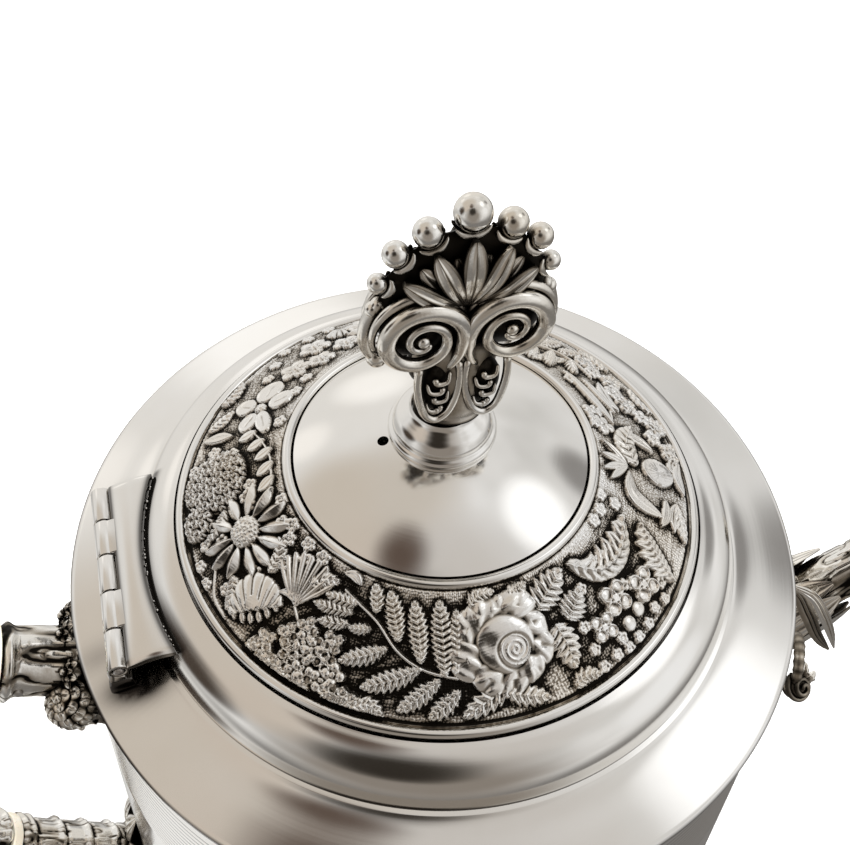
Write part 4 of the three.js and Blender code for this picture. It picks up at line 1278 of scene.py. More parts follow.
def make_palmette():
    """The cast fan: a ground painted black as patina and shade, leaves, scrolls, lobes and balls on both faces, and
    its neck.
    """
    shells = Shells()
    angles = np.radians(np.linspace(0, 360, 220, endpoint=False))
    degrees = np.degrees(np.abs((angles + math.pi) % (2 * math.pi) - math.pi))
    edge = 11.7 + 0.9 * sum(bell(degrees - a, 8) for a, _, _ in FAN_BALLS)
    edge = edge * np.clip(1.45 - np.maximum(degrees, 95) / 211, 0.55, 1)
    share = np.concatenate([np.linspace(0.03, 1, 14), np.linspace(1, 0.03, 14)[1:]])[:, None]
    thick = 1.7 * np.sqrt(np.clip(1 - share**8, 0.0, 1)) * np.where(np.arange(27) < 14, 1, -1)[:, None]
    x, z = edge * np.sin(angles) * share, FAN_Z + edge * np.cos(angles) * share
    # The fan's ground is painted black, as patina and as shade between the leaves.
    shells.shade = 0.9
    shells.loops(np.stack([x, thick + 0 * x, z], -1))
    shells.shade = 0.0

    for face in (1, -1):
        facing = np.array([0, -face, 0])
        for angle, reach, width in (
            (0, 11.9, 3.5), (27, 11.3, 3.2), (-27, 11.3, 3.2), (57, 11.0, 3.0), (-57, 11.0, 3.0)
        ):
            way, base = fan_way(angle), np.array([0, 0, FAN_Z - 0.3])
            spine = [
                base + way * 0.8 + facing * 2.6, base + way * reach * 0.55 + facing * 3.5,
                base + way * reach + facing * 2.7,
            ]
            shells.blade(spine, width, facing, 0.35, 1.3, (0.0, 0.8), fullest=0.6, tip=0.5)
        # The inner leaves are painted a little darker, as shade behind the outer ones.
        shells.shade = 0.2
        for angle, reach in ((13.5, 9.4), (-13.5, 9.4), (41, 10.6), (-41, 10.6), (76, 10.8), (-76, 10.8)):
            way, base = fan_way(angle), np.array([0, 0, FAN_Z - 0.3])
            spine = [
                base + way * 2.5 + facing * 1.8, base + way * reach * 0.65 + facing * 2.7,
                base + way * reach + facing * 2.2,
            ]
            shells.blade(spine, 2.6, facing, 0.5, 0.8, (0.0,), fullest=0.65, tip=0.5)
        shells.shade = 0.0
        for side in (-1, 1):
            volute(shells, side, face)
            calyx_lobe(shells, side, face)
    for angle, reach, radius in FAN_BALLS:
        for side in (-1, 1) if angle else (1,):
            way, base = fan_way(side * angle), np.array([0, 0, FAN_Z])
            shells.ball(base + way * reach, radius, 40)
            for face in (1, -1):
                around_ball = np.radians(np.linspace(-58, 58, 16))
                across = np.array([way[2], 0, -way[0]])
                arc = [
                    base + way * (
                        reach - (radius + 0.35) * math.cos(t)
                    ) + across * (radius + 0.35) * math.sin(t) + np.array([0, -face * 0.9, 0])
                    for t in around_ball
                ]
                shells.shade = 0.15
                shells.tube(np.array(arc), 0.1 + 0.62 * np.cos(1.5 * around_ball), 10, 1.0, (0, -face, 0))
                shells.shade = 0.0
            shells.tube(
                np.linspace(base + way * (reach - radius - 2.6), base + way * (reach - 0.6 * radius), 12),
                np.linspace(0.9, 0.62 * radius, 12), 14, round_ends=False
            )
    for side in (-1, 1):
        curl = smooth_line(
            [
                (side * 11.2, 0, FAN_Z + 1.5), (side * 12.9, 0, FAN_Z - 1.5), (side * 13.7, 0, FAN_Z - 5),
                (side * 13.1, 0, FAN_Z - 8), (side * 11.9, 0, FAN_Z - 9.6),
            ],
            8
        )
        shells.tube(curl, np.linspace(1.25, 0.8, len(curl)), 14)
        shells.ball(np.array([side * 11.8, 0, FAN_Z - 9.6]), 1.55, 28)

    core = [
        (5.0, NECK_Z + 0.3), (5.5, NECK_Z + 0.7), (5.1, NECK_Z + 1.3), (5.2, NECK_Z + 3), (5.7, NECK_Z + 6),
        (6.2, NECK_Z + 9), (6.4, NECK_Z + 12), (6.0, NECK_Z + 15),
    ]
    core = smooth_line(core, 4)
    a = full_turn(64)[None, :]
    flatten = np.interp(core[:, 1], (NECK_Z, NECK_Z + 14), (1.0, 0.5))[:, None]
    r, z = core[:, 0][:, None], core[:, 1][:, None]
    shells.shade = 0.35
    shells.loops(np.stack([r * np.cos(a), flatten * r * np.sin(a), z + 0 * a], -1))
    shells.moved(leaning).make("palmette_casting", "lid", CAST, ["finial_palmette"], 60)


def calyx_lobe(shells, side, face):
    """One of the four hanging lobes under the scrolls: a raised rim round a hollow painted dark as shade, with
    curled leaves.
    """
    middle, top, low_z = side * 3.6, NECK_Z + 13.0, NECK_Z + 2.6
    rim = [
        (-2.9, top), (-3.2, top - 3.6), (-2.8, top - 6.6), (-1.5, low_z + 0.9), (0.2, low_z), (1.7, low_z + 1.0),
        (2.7, top - 6.4), (3.1, top - 3.4), (2.9, top),
    ]
    depth = [3.4, 3.8, 4.3, 4.8, 5.0, 4.9, 4.6, 4.2, 3.8]
    path = smooth_line([(middle + side * x, -face * d, z) for (x, z), d in zip(rim, depth)], 6)
    shells.tube(path, 0.62, 12, 1.0, (0, -face, 0))
    # The hollow inside the lobe is painted black as shade, and its curls a little darker.
    shells.shade = 0.85
    shells.ball(np.array([middle, -face * 2.6, (top + low_z) / 2 - 0.4]), (2.7, 1.9, 4.6), 32)
    shells.shade = 0.2
    for k in range(4):
        z, sway = low_z + 1.6 + 1.9 * k, (1 if k % 2 else -1) * 1.1
        curl = smooth_line(
            [
                (middle + sway * 1.5, -face * 4.0, z + 1.5), (middle + sway * 1.1, -face * 4.7, z + 0.2),
                (middle - sway * 0.3, -face * 4.7, z), (middle - sway * 0.6, -face * 4.5, z + 0.9),
            ],
            6
        )
        shells.tube(curl, np.linspace(0.25, 0.5, len(curl)), 10)
    shells.ball(np.array([middle, -face * 4.6, low_z + 1.5]), 0.6, 14)
    shells.shade = 0.0


# ---- Hinge ---------------------------------------------------------------------------------------------------

BARREL_R = 1.7
BORE_R = 1.05
HINGE_PITCH = 7.0
HINGE_GAP = 0.3


def along_y(shells, outline, y0, y1, edge=0.25):
    """An outline of (x, z) points run along Y, with its ends a little rounded."""
    outline = np.array(outline, float)
    middle = outline.mean(0)
    rings = []
    for y, inset in (
        (y0, edge), (y0 + edge * 0.35, edge * 0.3), (y0 + edge, 0), (y1 - edge, 0), (y1 - edge * 0.35, edge * 0.3),
        (y1, edge)
    ):
        away = outline - middle
        size = np.linalg.norm(away, axis=1, keepdims=True)
        ring = middle + away * (1 - inset / np.maximum(size, 1))
        rings.append(np.insert(ring, 1, y, axis=1))
    shells.loops(np.array(rings))


def barrel(shells, y0, y1):
    """One knuckle of the hinge, with its bore."""
    outline = rounded([(BORE_R, y0), (BARREL_R, y0), (BARREL_R, y1), (BORE_R, y1)], 0.22, 3)
    a = full_turn(48)[:, None]
    r, y = np.array(outline)[:, 0][None, :], np.array(outline)[:, 1][None, :]
    points = np.stack([HINGE_X + r * np.cos(a), y + 0 * a, HINGE_Z + r * np.sin(a)], -1)
    shells.add(points.reshape(-1, 3), grid_faces(48, len(outline), True, True))


def rod_along_y(x, z, run, sides):
    """A rod along Y through (x, z). run is a list of (y, radius)."""
    rod = Shells()
    rod.loops(np.array([[(x + r * math.cos(t), y, z + r * math.sin(t)) for t in full_turn(sides)] for y, r in run]))
    return rod


def knuckle_span(k):
    """Where the hinge's knuckle k starts and ends along Y."""
    start = -HINGE_HALF + k * HINGE_PITCH + HINGE_GAP / 2
    return start, start + HINGE_PITCH - HINGE_GAP


def make_lower_leaf(pot):
    """Three knuckles on a saddle, the saddle painted black as shade under the upper leaf."""
    for k in (0, 2, 4):
        web = [
            (HINGE_X - 1.85, RIM_Z + 1.2), (HINGE_X - 1.8, HINGE_Z - 0.2), (HINGE_X - 1.2, HINGE_Z + 0.1),
            (HINGE_X - 0.95, HINGE_Z - 1.25), (HINGE_X + 0.7, HINGE_Z - 1.65), (HINGE_X + 0.9, RIM_Z + 2.2),
        ]
        barrel(pot, *knuckle_span(k))
        along_y(pot, rounded(web, 0.25, 3), *knuckle_span(k))
    saddle = [
        (HINGE_X - 2.3, RIM_Z + 0.75), (HINGE_X - 2.2, RIM_Z + 2.9), (HINGE_X - 1.7, RIM_Z + 4.3),
        (HINGE_X + 1.6, RIM_Z + 4.3), (HINGE_X + 1.9, RIM_Z + 1.9),
    ]
    # The saddle is painted black, as shade under the upper leaf.
    pot.shade = 0.9
    along_y(pot, rounded(saddle, 0.4, 4), -HINGE_HALF, HINGE_HALF)
    pot.make("hinge_lower_leaf", "pot", POLISHED, ["hinge_pot_leaf"], 40)


def make_upper_leaf(lid):
    """A sheet arched from the barrel to a circle on the lid, with beads of solder and two knuckles, and painted
    shadow lines at its ends.
    """
    for k in (1, 3):
        barrel(lid, *knuckle_span(k))
    y = np.linspace(-HINGE_HALF, HINGE_HALF, 60)
    reach = -np.sqrt(LEAF_END_R**2 - y**2)
    start = HINGE_X + 1.45
    s = np.linspace(0, 1, 22)[None, :]
    x = start + (reach[:, None] - start) * s
    arch = 0 * x + HINGE_Z + 1.3 + 1.5 * np.sin(0.62 * math.pi * s) ** 0.85
    cheek = 0.35 * np.clip((np.abs(y[:, None]) - HINGE_HALF + 0.8) / 0.8, 0, 1) ** 2
    top = np.stack([x, y[:, None] + 0 * x, arch - cheek], -1)
    under = np.stack([x + 0.25 * (1 - s), y[:, None] + 0 * x, np.maximum(arch - 1.3, HINGE_Z + 0.5)], -1)
    lid.loops(np.concatenate([top, under[:, ::-1]], axis=1))
    lid.tube(np.stack([reach, y, LID_Z + 4.2 + 0 * y], -1), 0.55, 10, 1.0, (0, 0, 1), False)
    for k in range(60):
        share = (k + rng.uniform(-0.4, 0.4)) / 60
        y = -HINGE_HALF + 2 * HINGE_HALF * np.clip(share, 0.01, 0.99)
        x = -math.sqrt((LEAF_END_R - 0.3) ** 2 - y * y)
        bead = np.array([x + rng.uniform(-0.1, 0.2), y, LID_Z + 4.75 + rng.uniform(-0.25, 0.15)])
        lid.ball(bead, rng.uniform(0.18, 0.32), 10)
    for k in (1, 3):
        web = [
            (HINGE_X + 0.8, HINGE_Z + 0.8), (HINGE_X + 0.4, HINGE_Z + 1.5), (HINGE_X + 2.4, HINGE_Z + 1.7),
            (HINGE_X + 2.9, HINGE_Z + 1.0), (HINGE_X + 1.9, HINGE_Z + 0.2),
        ]
        along_y(lid, rounded(web, 0.2, 3), *knuckle_span(k))
    sheet = lid.make("hinge_upper_leaf", "lid", POLISHED, ["hinge_lid_leaf"], 40)
    # Painted shadow lines: along the sheet's end on the lid and in the groove beside the barrel.
    x, y, z = corners(sheet).T
    r = np.hypot(x, y)
    far_edge_shadow = bell(r - LEAF_END_R - 0.1, 0.55) * (r > LEAF_END_R - 0.2)
    groove_shadow = bell(x - start - 0.2, 0.4) * (z > HINGE_Z + 1.1)
    paint(sheet, 0.9 * np.maximum(far_edge_shadow, groove_shadow))


def make_hinge():
    """Both leaves of the hinge and its wire."""
    make_lower_leaf(Shells())
    make_upper_leaf(Shells())
    ends = [(0, 0.1), (0.1, 0.6), (0.25, 0.78), (0.45, 0.8)]
    run = [(-HINGE_HALF - 0.2 + d, r) for d, r in ends] + [(HINGE_HALF + 0.2 - d, r) for d, r in ends[::-1]]
    rod_along_y(HINGE_X, HINGE_Z, run, 32).make("hinge_wire", "pot", STEEL, ["hinge_pin"])


# ---- Branches ---------------------------------------------------------------------------------------------------

class Branch:
    """A bent bar in the XZ plane. Places on it are a distance along and an angle about it."""

    def __init__(self, places):
        line = smooth_line(places, 40)
        run = np.concatenate([[0], np.cumsum(np.linalg.norm(np.diff(line, axis=0), axis=1))])
        self.length = run[-1]
        self.run, self.line = run, line
        self.slope = unit(np.gradient(line, axis=0))

    def at(self, s):
        """The place (x, z) and the way ahead at a distance along."""
        s = np.clip(s, 0, self.length)
        place = np.stack([np.interp(s, self.run, self.line[:, k]) for k in (0, 1)], -1)
        slope = unit(np.stack([np.interp(s, self.run, self.slope[:, k]) for k in (0, 1)], -1))
        return place, slope

    def point(self, s, angle, radius):
        """Angle 0 is the side to the left of the way along, and 90 degrees is -Y."""
        s, angle, radius = np.broadcast_arrays(s, angle, radius)
        place, slope = self.at(s)
        x = place[..., 0] - slope[..., 1] * radius * np.cos(angle)
        z = place[..., 1] + slope[..., 0] * radius * np.cos(angle)
        return np.stack([x, -radius * np.sin(angle), z], -1)

    def tube(self, outer, inner, start, end, rows, sides):
        """A tube whose outer radius is outer(s, angle) and whose bore's radius is inner(s)."""
        s = np.linspace(start, end, rows)[:, None]
        a = full_turn(sides)[None, :]
        skin = self.point(s, a, outer(s, a))
        bore = self.point(s[::-1], a, inner(s[::-1]) + 0 * a)
        faces = grid_faces(2 * rows, sides, True, True)
        return np.concatenate([skin, bore]).reshape(-1, 3), faces


def ring_noise(s, a, around_count, pitch, seed):
    """Noise on a bar's skin that joins up with itself round the bar."""
    u = a / (2 * math.pi) * around_count
    here = noise(u, s / pitch, seed)
    there = noise(u - around_count, s / pitch, seed)
    edge = np.clip(u / 1.5, 0, 1)
    return here * edge + there * (1 - edge)


def bark(s, a, rings, seed):
    """The height of bark on a bar: long cracks and flakes, or rings round it."""
    cracks = ring_noise(s, a, 9, 13, seed)
    fine = ring_noise(s, a, 18, 6, seed + 3)
    height = 0.75 * (cracks - 0.5) - 0.55 * bell(cracks - 0.48, 0.07)
    height = height - 0.35 * bell(fine - 0.5, 0.06) + 0.14 * ring_noise(s, a, 34, 1.6, seed + 6)
    if rings:
        wave = s + 1.4 * ring_noise(s, a, 5, 9, seed + 9)
        height = height * 0.6 + rings * bell(wave % 7.4 - 3.7, 0.8) - 0.4 * bell(wave % 7.4 - 5.2, 0.45)
    return height


def paint_cracks(branch, start, end, rows, sides, rings, seed):
    """Black in the cracks of a bark-covered tube."""
    s = np.linspace(start, end, rows)[:, None]
    a = full_turn(sides)[None, :]
    height = bark(s, a, rings, seed)
    streaks = ring_noise(s, a, 26, 11, seed + 12)
    dark = (
        np.clip(-0.1 - 1.5 * height, 0, 0.9) + 0.8 * bell(streaks - 0.5, 0.05)
        * (ring_noise(s, a, 6, 5, seed + 15) > 0.45)
    )
    paint(branch, np.concatenate([np.clip(dark, 0, 1), np.zeros_like(dark)]))


HANDLE = Branch(
    [
        (-60, 119), (-76, 127.3), (-93, 133.5), (-109, 131), (-120, 118), (-122.4, 99), (-117, 76), (-107, 56),
        (-92, 38.5), (-76, 22.5), (-66, 13),
    ]
)
ARM_R = 6.2  # radius of the arms
GRIP_R = 7.0  # and of the middle of the grip
BORE = 3.5
UPPER_S = 22.3  # how far along the handle the upper bone disc is
LOWER_S = HANDLE.length - 48.6  # and the lower one
DISC_HALF = 1.2  # half a disc's thickness
PIN_AT = 4.7  # from a disc's middle to the rivet on each side of it


def make_handle():
    """The two arms and the grip, the bone discs between them and the rivets through the discs' tenons."""
    def arm(name, node_name, start, end, radius, rings, seed, end_rings):
        def outer(s, a):
            near = sum(0.9 * bell(s - at, 0.9) for at in end_rings)
            return radius(s) + 0.25 + bark(s, a, rings, seed) + near

        rows = int((end - start) * 4)
        points, faces = HANDLE.tube(outer, lambda s: BORE + 0 * s, start, end, rows, 120)
        branch = mesh_piece(name, points, faces, "pot", CAST, [node_name], 80)
        paint_cracks(branch, start, end, rows, 120, rings, seed)

    gap = DISC_HALF + 0.3
    arm(
        "upper_branch", "handle_upper_socket", 6.6, UPPER_S - gap, lambda s: ARM_R - 0.2 + 0 * s, 0, 1,
        (UPPER_S - gap - 1.2,)
    )
    arm(
        "lower_branch", "handle_lower_socket", LOWER_S + gap, HANDLE.length - 6.5, lambda s: ARM_R - 0.3 + 0 * s,
        0.75, 2, (LOWER_S + gap + 1.2,)
    )

    def swell(s):
        return ARM_R + (GRIP_R - ARM_R - 0.3) * np.sin(math.pi * np.clip((s - UPPER_S) / (LOWER_S - UPPER_S), 0, 1))

    arm(
        "grip_branch", "handle_grip", UPPER_S + gap, LOWER_S - gap, swell, 0, 3,
        (UPPER_S + gap + 1.2, LOWER_S - gap - 1.2)
    )

    for name, node_name, s in (
        ("upper_bone_disc", "upper_insulator", UPPER_S), ("lower_bone_disc", "lower_insulator", LOWER_S)
    ):
        profile = rounded(
            [(3.2, -8.2), (3.2, -DISC_HALF), (7.0, -DISC_HALF), (7.0, DISC_HALF), (3.2, DISC_HALF), (3.2, 8.2)],
            0.35, 4
        )[4:-4]
        a = full_turn(96)
        disc = Shells()
        disc.loops(np.array([HANDLE.point(s + d, a, r) for r, d in profile]))
        disc.make(name, "pot", BONE, [node_name], 40)
    for name, node_name, s in (
        ("upper_arm_rivet", "upper_socket_pin", UPPER_S - PIN_AT),
        ("grip_top_rivet", "upper_grip_pin", UPPER_S + PIN_AT),
        ("grip_foot_rivet", "lower_grip_pin", LOWER_S - PIN_AT),
        ("lower_arm_rivet", "lower_socket_pin", LOWER_S + PIN_AT),
    ):
        (x, z), _ = HANDLE.at(np.array(s))
        run = [(-6.75, 0.1), (-6.7, 0.5), (-6.5, 0.8), (-6.0, 0.8), (6.0, 0.8), (6.5, 0.8), (6.7, 0.5), (6.75, 0.1)]
        rod_along_y(x, z, run, 24).make(name, "pot", STEEL, [node_name])


SPOUT_SIDE, HANDLE_SIDE = 0.0, math.pi  # azimuths
BOSS_Z = 118  # height of the flower boss round the upper arm
STAR_Z = 25  # and of the star of leaves round the lower arm


def on_wall(start, arc, z, lift):
    """A point on the drum: an arc from the start azimuth towards -Y, a height, and how far it stands off."""
    turn = start + (1 if start else -1) * arc / wall_radius(z)
    radius = wall_radius(z) + lift
    return np.array([radius * math.cos(turn), radius * math.sin(turn), z])


def wall_leaf(shells, start, places, width, ribs, teeth, crown=0.7, cup=0.0):
    """A leaf that lies on the drum. Each place is (arc, height, stand-off)."""
    spine = [on_wall(start, *p) for p in places]
    middle = spine[len(spine) // 2]
    facing = np.array([middle[0], middle[1], 0])
    shells.blade(spine, width, facing, crown, 0.5, ribs, teeth, cup=cup)


def make_flower_boss():
    """The boss round the upper arm: leaves on the wall, a round rose, rosettes and beads."""
    flowers = Shells()
    root = on_wall(HANDLE_SIDE, 0, BOSS_Z, -0.6)

    def rough(way):
        return 0.7 * bumps(way[..., 1] * 6, way[..., 2] * 6, 2) - 0.3

    # The ground under the leaves is painted dark, as patina and shade.
    flowers.shade = 0.5
    flowers.ball(root, (4.6, 9.6, 10.4), 72, rough)
    flowers.shade = 0.1
    for k in range(12):
        a = 2 * math.pi * (k + 0.5) / 12
        tip = (9.6 * math.cos(a), BOSS_Z + 10.8 * math.sin(a), 1.6)
        base = (4 * math.cos(a), BOSS_Z + 5 * math.sin(a), 3.6)
        middle = (7.4 * math.cos(a), BOSS_Z + 8.4 * math.sin(a), 3.6)
        wall_leaf(flowers, HANDLE_SIDE, [base, middle, tip], 4.6, (0.0, 0.6), 0, 0.9)
    flowers.shade = 0.0
    head = on_wall(HANDLE_SIDE, 6.6, 121.2, 4.2)
    axis = unit(np.array([-0.42, -0.2, 0.88]))
    first = unit(np.cross(axis, (0, 1, 0)))
    second = np.cross(axis, first)
    # The ball under the rose's petals is painted dark, as shade between them.
    flowers.shade = 0.5
    flowers.ball(head, (3.7, 3.7, 3.7), 40)
    flowers.shade = 0.0
    for layer, (tilt, count) in enumerate(((112, 11), (88, 11), (63, 9), (40, 7), (19, 4))):
        for k in range(count):
            turn, spine = 2 * math.pi * (k + 0.5 * (layer % 2)) / count, []
            for back, off in ((-24, 3.5), (-8, 4.25), (10, 4.75)):
                t = math.radians(tilt + back)
                spine.append(
                    head + off
                    * (math.cos(t) * axis + math.sin(t) * (math.cos(turn) * first + math.sin(turn) * second))
                )
            flowers.blade(
                spine, 7.4 * math.pi * math.sin(math.radians(tilt)) / count * 1.1 + 0.5, spine[1] - head, 0.3, 0.3,
                (0.0,), fullest=0.68, tip=0.45, cup=0.25, across=5
            )
    flowers.ball(head + 4.4 * axis, 0.9, 14)
    for arc, z, lift, size, petals in (
        (4.6, 127.4, 3.2, 2.7, 6), (-1.6, 129.2, 3.0, 2.6, 6), (-6.8, 126.0, 3.4, 2.9, 6),
        (-9.0, 119.6, 3.2, 2.8, 6), (-8.0, 112.4, 3.2, 3.0, 7), (-2.2, 109.4, 3.2, 2.7, 6)
    ):
        middle = on_wall(HANDLE_SIDE, arc, z, lift)
        flowers.rosette(middle, (middle[0], middle[1], 55), size, petals, 3, turn=arc)
    for k in range(26):
        a, reach = 2.4 * k, 6.9 + 2.2 * (k % 3) / 2
        flowers.ball(on_wall(HANDLE_SIDE, reach * math.cos(a), BOSS_Z + reach * math.sin(a), 4.2), 0.75, 12)
    flowers.make("handle_flower_boss", "pot", CAST, ["handle_flower_mount"], 60)


def make_leaf_star():
    """The star of leaves round the lower arm."""
    leaves = Shells()
    # The ground under the star's leaves is painted dark, as patina and shade.
    leaves.shade = 0.7
    leaves.ball(
        on_wall(HANDLE_SIDE, 0, STAR_Z, -0.8), (3.2, 9.2, 12.0), 60,
        lambda way: 0.5 * bumps(way[..., 1] * 5, way[..., 2] * 5, 6) - 0.2
    )
    leaves.shade = 0.0
    for angle, reach, width in (
        (90, 17.5, 6.5), (62, 16.5, 6.0), (118, 16.5, 6.0), (34, 13.5, 5.6), (146, 13.5, 5.6), (6, 11.8, 5.2),
        (174, 11.8, 5.2), (-24, 12, 5.2), (204, 12, 5.2), (-56, 14, 5.2), (236, 14, 5.2), (-90, 15.5, 5.4)
    ):
        a = math.radians(angle)
        places = [
            (0.3 * reach * math.cos(a), STAR_Z + 0.3 * reach * math.sin(a), 2.6),
            (0.68 * reach * math.cos(a), STAR_Z + 0.68 * reach * math.sin(a), 3.0),
            (reach * math.cos(a), STAR_Z + reach * math.sin(a), 0.9),
        ]
        wall_leaf(leaves, HANDLE_SIDE, places, width, (0.0, 0.55), 0, 1.0, 0.3)
    leaves.make("handle_leaf_boss", "pot", CAST, ["handle_leaf_mount"], 60)


SPOUT_START = 8.6  # how far along it the spout comes through the wall
CUP_START, CUP_END = 9.0, 55.0  # and where the cup of leaves begins and ends
SPOUT = Branch(
    [
        (58, 36), (73, 49), (88, 67.5), (99.8, 77.8), (109.8, 85.6), (116.5, 96.5), (120, 110.5), (121.8, 125),
        (123, 139),
    ]
)


def spout_radius(s):
    """The radius of the spout a distance along it: wide at its root, with a small lip."""
    t = s / SPOUT.length
    return 6.0 + 11 * bell(t, 0.24) + 0.9 * np.exp((t - 1) / 0.06)


def make_spout():
    """The bark-covered spout."""
    def outer(s, a):
        lip = np.clip((SPOUT.length - s) / 3, 0, 1)
        return spout_radius(s) + (bark(s, a, 0, 5) - 0.1) * (0.25 + 0.75 * lip) - 0.2 * (1 - lip)

    points, faces = SPOUT.tube(outer, lambda s: spout_radius(s) - 1.5, SPOUT_START, SPOUT.length, 460, 140)
    branch = mesh_piece("spout_branch", points, faces, "pot", CAST, ["spout"], 80)
    paint_cracks(branch, SPOUT_START, SPOUT.length, 460, 140, 0, 5)


def add_side_ornament(cup, side):
    """Two long blades, one painted dark as the shaded inside of a curled leaf, and a vine up the drum that ends in
    a scroll with leaflets.
    """
    up = (0.0, -0.7 * side, 0.7)
    # The first blade is painted dark, as the shaded inside of a curled leaf; the second stays bright along the
    # edge.
    cup.shade = 0.55
    cup.blade(
        [
            (82, -4 * side, 91), (84.7, -7 * side, 92), (87.2, -10.6 * side, 87.6), (90.4, -13.4 * side, 81),
            (95, -15 * side, 74.5),
        ],
        3.6, up, 0.5, 0.4, (0.0,), fullest=0.5, tip=0.6
    )
    cup.shade = 0.0
    cup.blade(
        [
            (82.5, -6 * side, 95), (86.4, -9.6 * side, 94.4), (89.6, -12.6 * side, 89.4), (92.6, -14.6 * side, 83),
            (95.8, -15.4 * side, 75.6),
        ],
        2.8, up, 0.9, 0.4, (0.0, 0.6), fullest=0.5, tip=0.6
    )
    sink = 0 if side > 0 else 6
    places = [
        (8, 60, 2.4), (18, 82, 2.6), (25, 104, 3.0), (28, 119, 3.4), (30.5, 127.4, 3.8), (34.2, 129.8, 3.8),
        (37.6, 128.6, 4.0), (38.4, 125.5, 4.2),
    ]
    vine = smooth_line([on_wall(SPOUT_SIDE, side * arc, z - sink, lift) for arc, z, lift in places], 12)
    knots = 1 + 0.07 * np.sin(np.arange(len(vine)) * 1.35)
    cup.tube(vine, np.linspace(1.5, 0.8, len(vine)) * knots, 12, 1.0, (0.5, -0.8 * side, 0))
    middle = on_wall(SPOUT_SIDE, side * 38.4, 124.6 - sink, 4.4)
    facing = unit(np.array([0.25, -0.6 * side, 0.75]))
    first = unit(np.cross(facing, (1, 0, 0)))
    second = np.cross(facing, first)
    # The ball under the swirl is painted a little dark, as shade.
    cup.shade = 0.3
    cup.ball(middle, 2.2, 24)
    cup.shade = 0.0
    turn = np.linspace(0, 4.6 * math.pi, 70)[:, None]
    reach = np.linspace(2.5, 0.35, 70)[:, None]
    swirl = middle + reach * (np.cos(turn) * first + np.sin(turn) * second) + facing * (2.6 - 0.34 * reach**2)
    cup.tube(swirl, np.linspace(0.5, 0.32, 70), 10)
    for way, length in ((80, 4.8), (35, 4.0), (150, 3.6)):
        t = math.radians(way)
        ahead = math.cos(t) * np.array([0.95, -0.1, 0.2]) + math.sin(t) * np.array([0.3, 0.5, 0.8])
        cup.blade(
            [middle + 1.4 * ahead, middle + 0.65 * length * ahead + 0.5 * facing, middle + length * ahead], 2.4,
            facing, 0.4, 0.3, (0.0,), 3
        )
    for arc, z in ((24, 94), (31, 112)):
        wall_leaf(
            cup, SPOUT_SIDE,
            [(side * arc, z, 1.6), (side * (arc + 4), z + 1.0, 3.0), (side * (arc + 7.5), z + 0.5, 1.2)], 3.4,
            (0.0,), 4
        )


def make_leaf_cup():
    """The cup round the spout's root: layers of leaves on a ground painted black as shade between them, with an
    ornament on each side.
    """
    cup = Shells()

    def body(s, a):
        return (
            spout_radius(s) + 0.4 + 0.7 * np.clip(1 - (s - CUP_START) / 18, 0, 1) + 0.3 * bumps(a * 5, s / 1.6, 9)
        )

    skin, skin_faces = SPOUT.tube(body, lambda s: spout_radius(s) - 0.9, CUP_START, CUP_END, 110, 140)
    # The skin under the leaves is painted black, as shade in the gaps between them.
    cup.shade = 0.85
    cup.add(skin, skin_faces)
    layers = (
        (9, 7.5, 26, 6.6, 3.0, 0.5), (9, 12, 47, 8.4, 2.4, 0.5), (8, 33, 58, 7.4, 1.8, 0.48),
        (8, 37, 62, 6.8, 0.9, 0.45), (8, 41, 56, 4.8, 1.6, 0.45)
    )
    for layer, (count, first, last, width, lift, fullest) in enumerate(layers):
        for k in range(count):
            cup.shade = 0.12 * ((k + layer) % 3)
            a = 2 * math.pi * (k + 0.5 * (layer % 2)) / count + 0.2 * layer
            reach = last + 2.0 * math.sin(5 * k + layer)
            s = np.array([first, first + 0.35 * (reach - first), first + 0.75 * (reach - first), reach])
            off = np.array([0.5, 1.1, 1.2, lift]) + 0.25 * min(layer, 3)
            spine = [
                SPOUT.point(si, a + 0.12 * math.sin(3 * k) * i, spout_radius(si) + oi)
                for i, (si, oi) in enumerate(zip(s, off))
            ]
            place, _ = SPOUT.at(s[2])
            facing = spine[2] - np.array([place[0], 0, place[1]])
            cup.blade(spine, width, facing, 0.7, 0.35, (0.0, 0.6), 0, fullest, tip=0.6, cup=0.6)
    for side in (1, -1):
        add_side_ornament(cup, side)
    cup.make("spout_leaves", "pot", CAST, ["spout_leaf_cup"], 60)


make_wall()
make_foot()
make_shoulder()
make_lid_shells()
make_inside()
make_fixings()
make_flower_band()
make_finial_foot()
make_palmette()
make_hinge()
make_handle()
make_flower_boss()
make_leaf_star()
make_spout()
make_leaf_cup()


# ---- Stage ---------------------------------------------------------------------------------------------

CAMERA_AZIMUTH = -17.5
CAMERA_ELEVATION = 50.6
CAMERA_ROLL = 2.5
CAMERA_DISTANCE = 185.1
CAMERA_AIM = (-2.73, 18.99)  # right and up from the middle of the shoulder's edge, across the view
CAMERA_LENS = 43.79


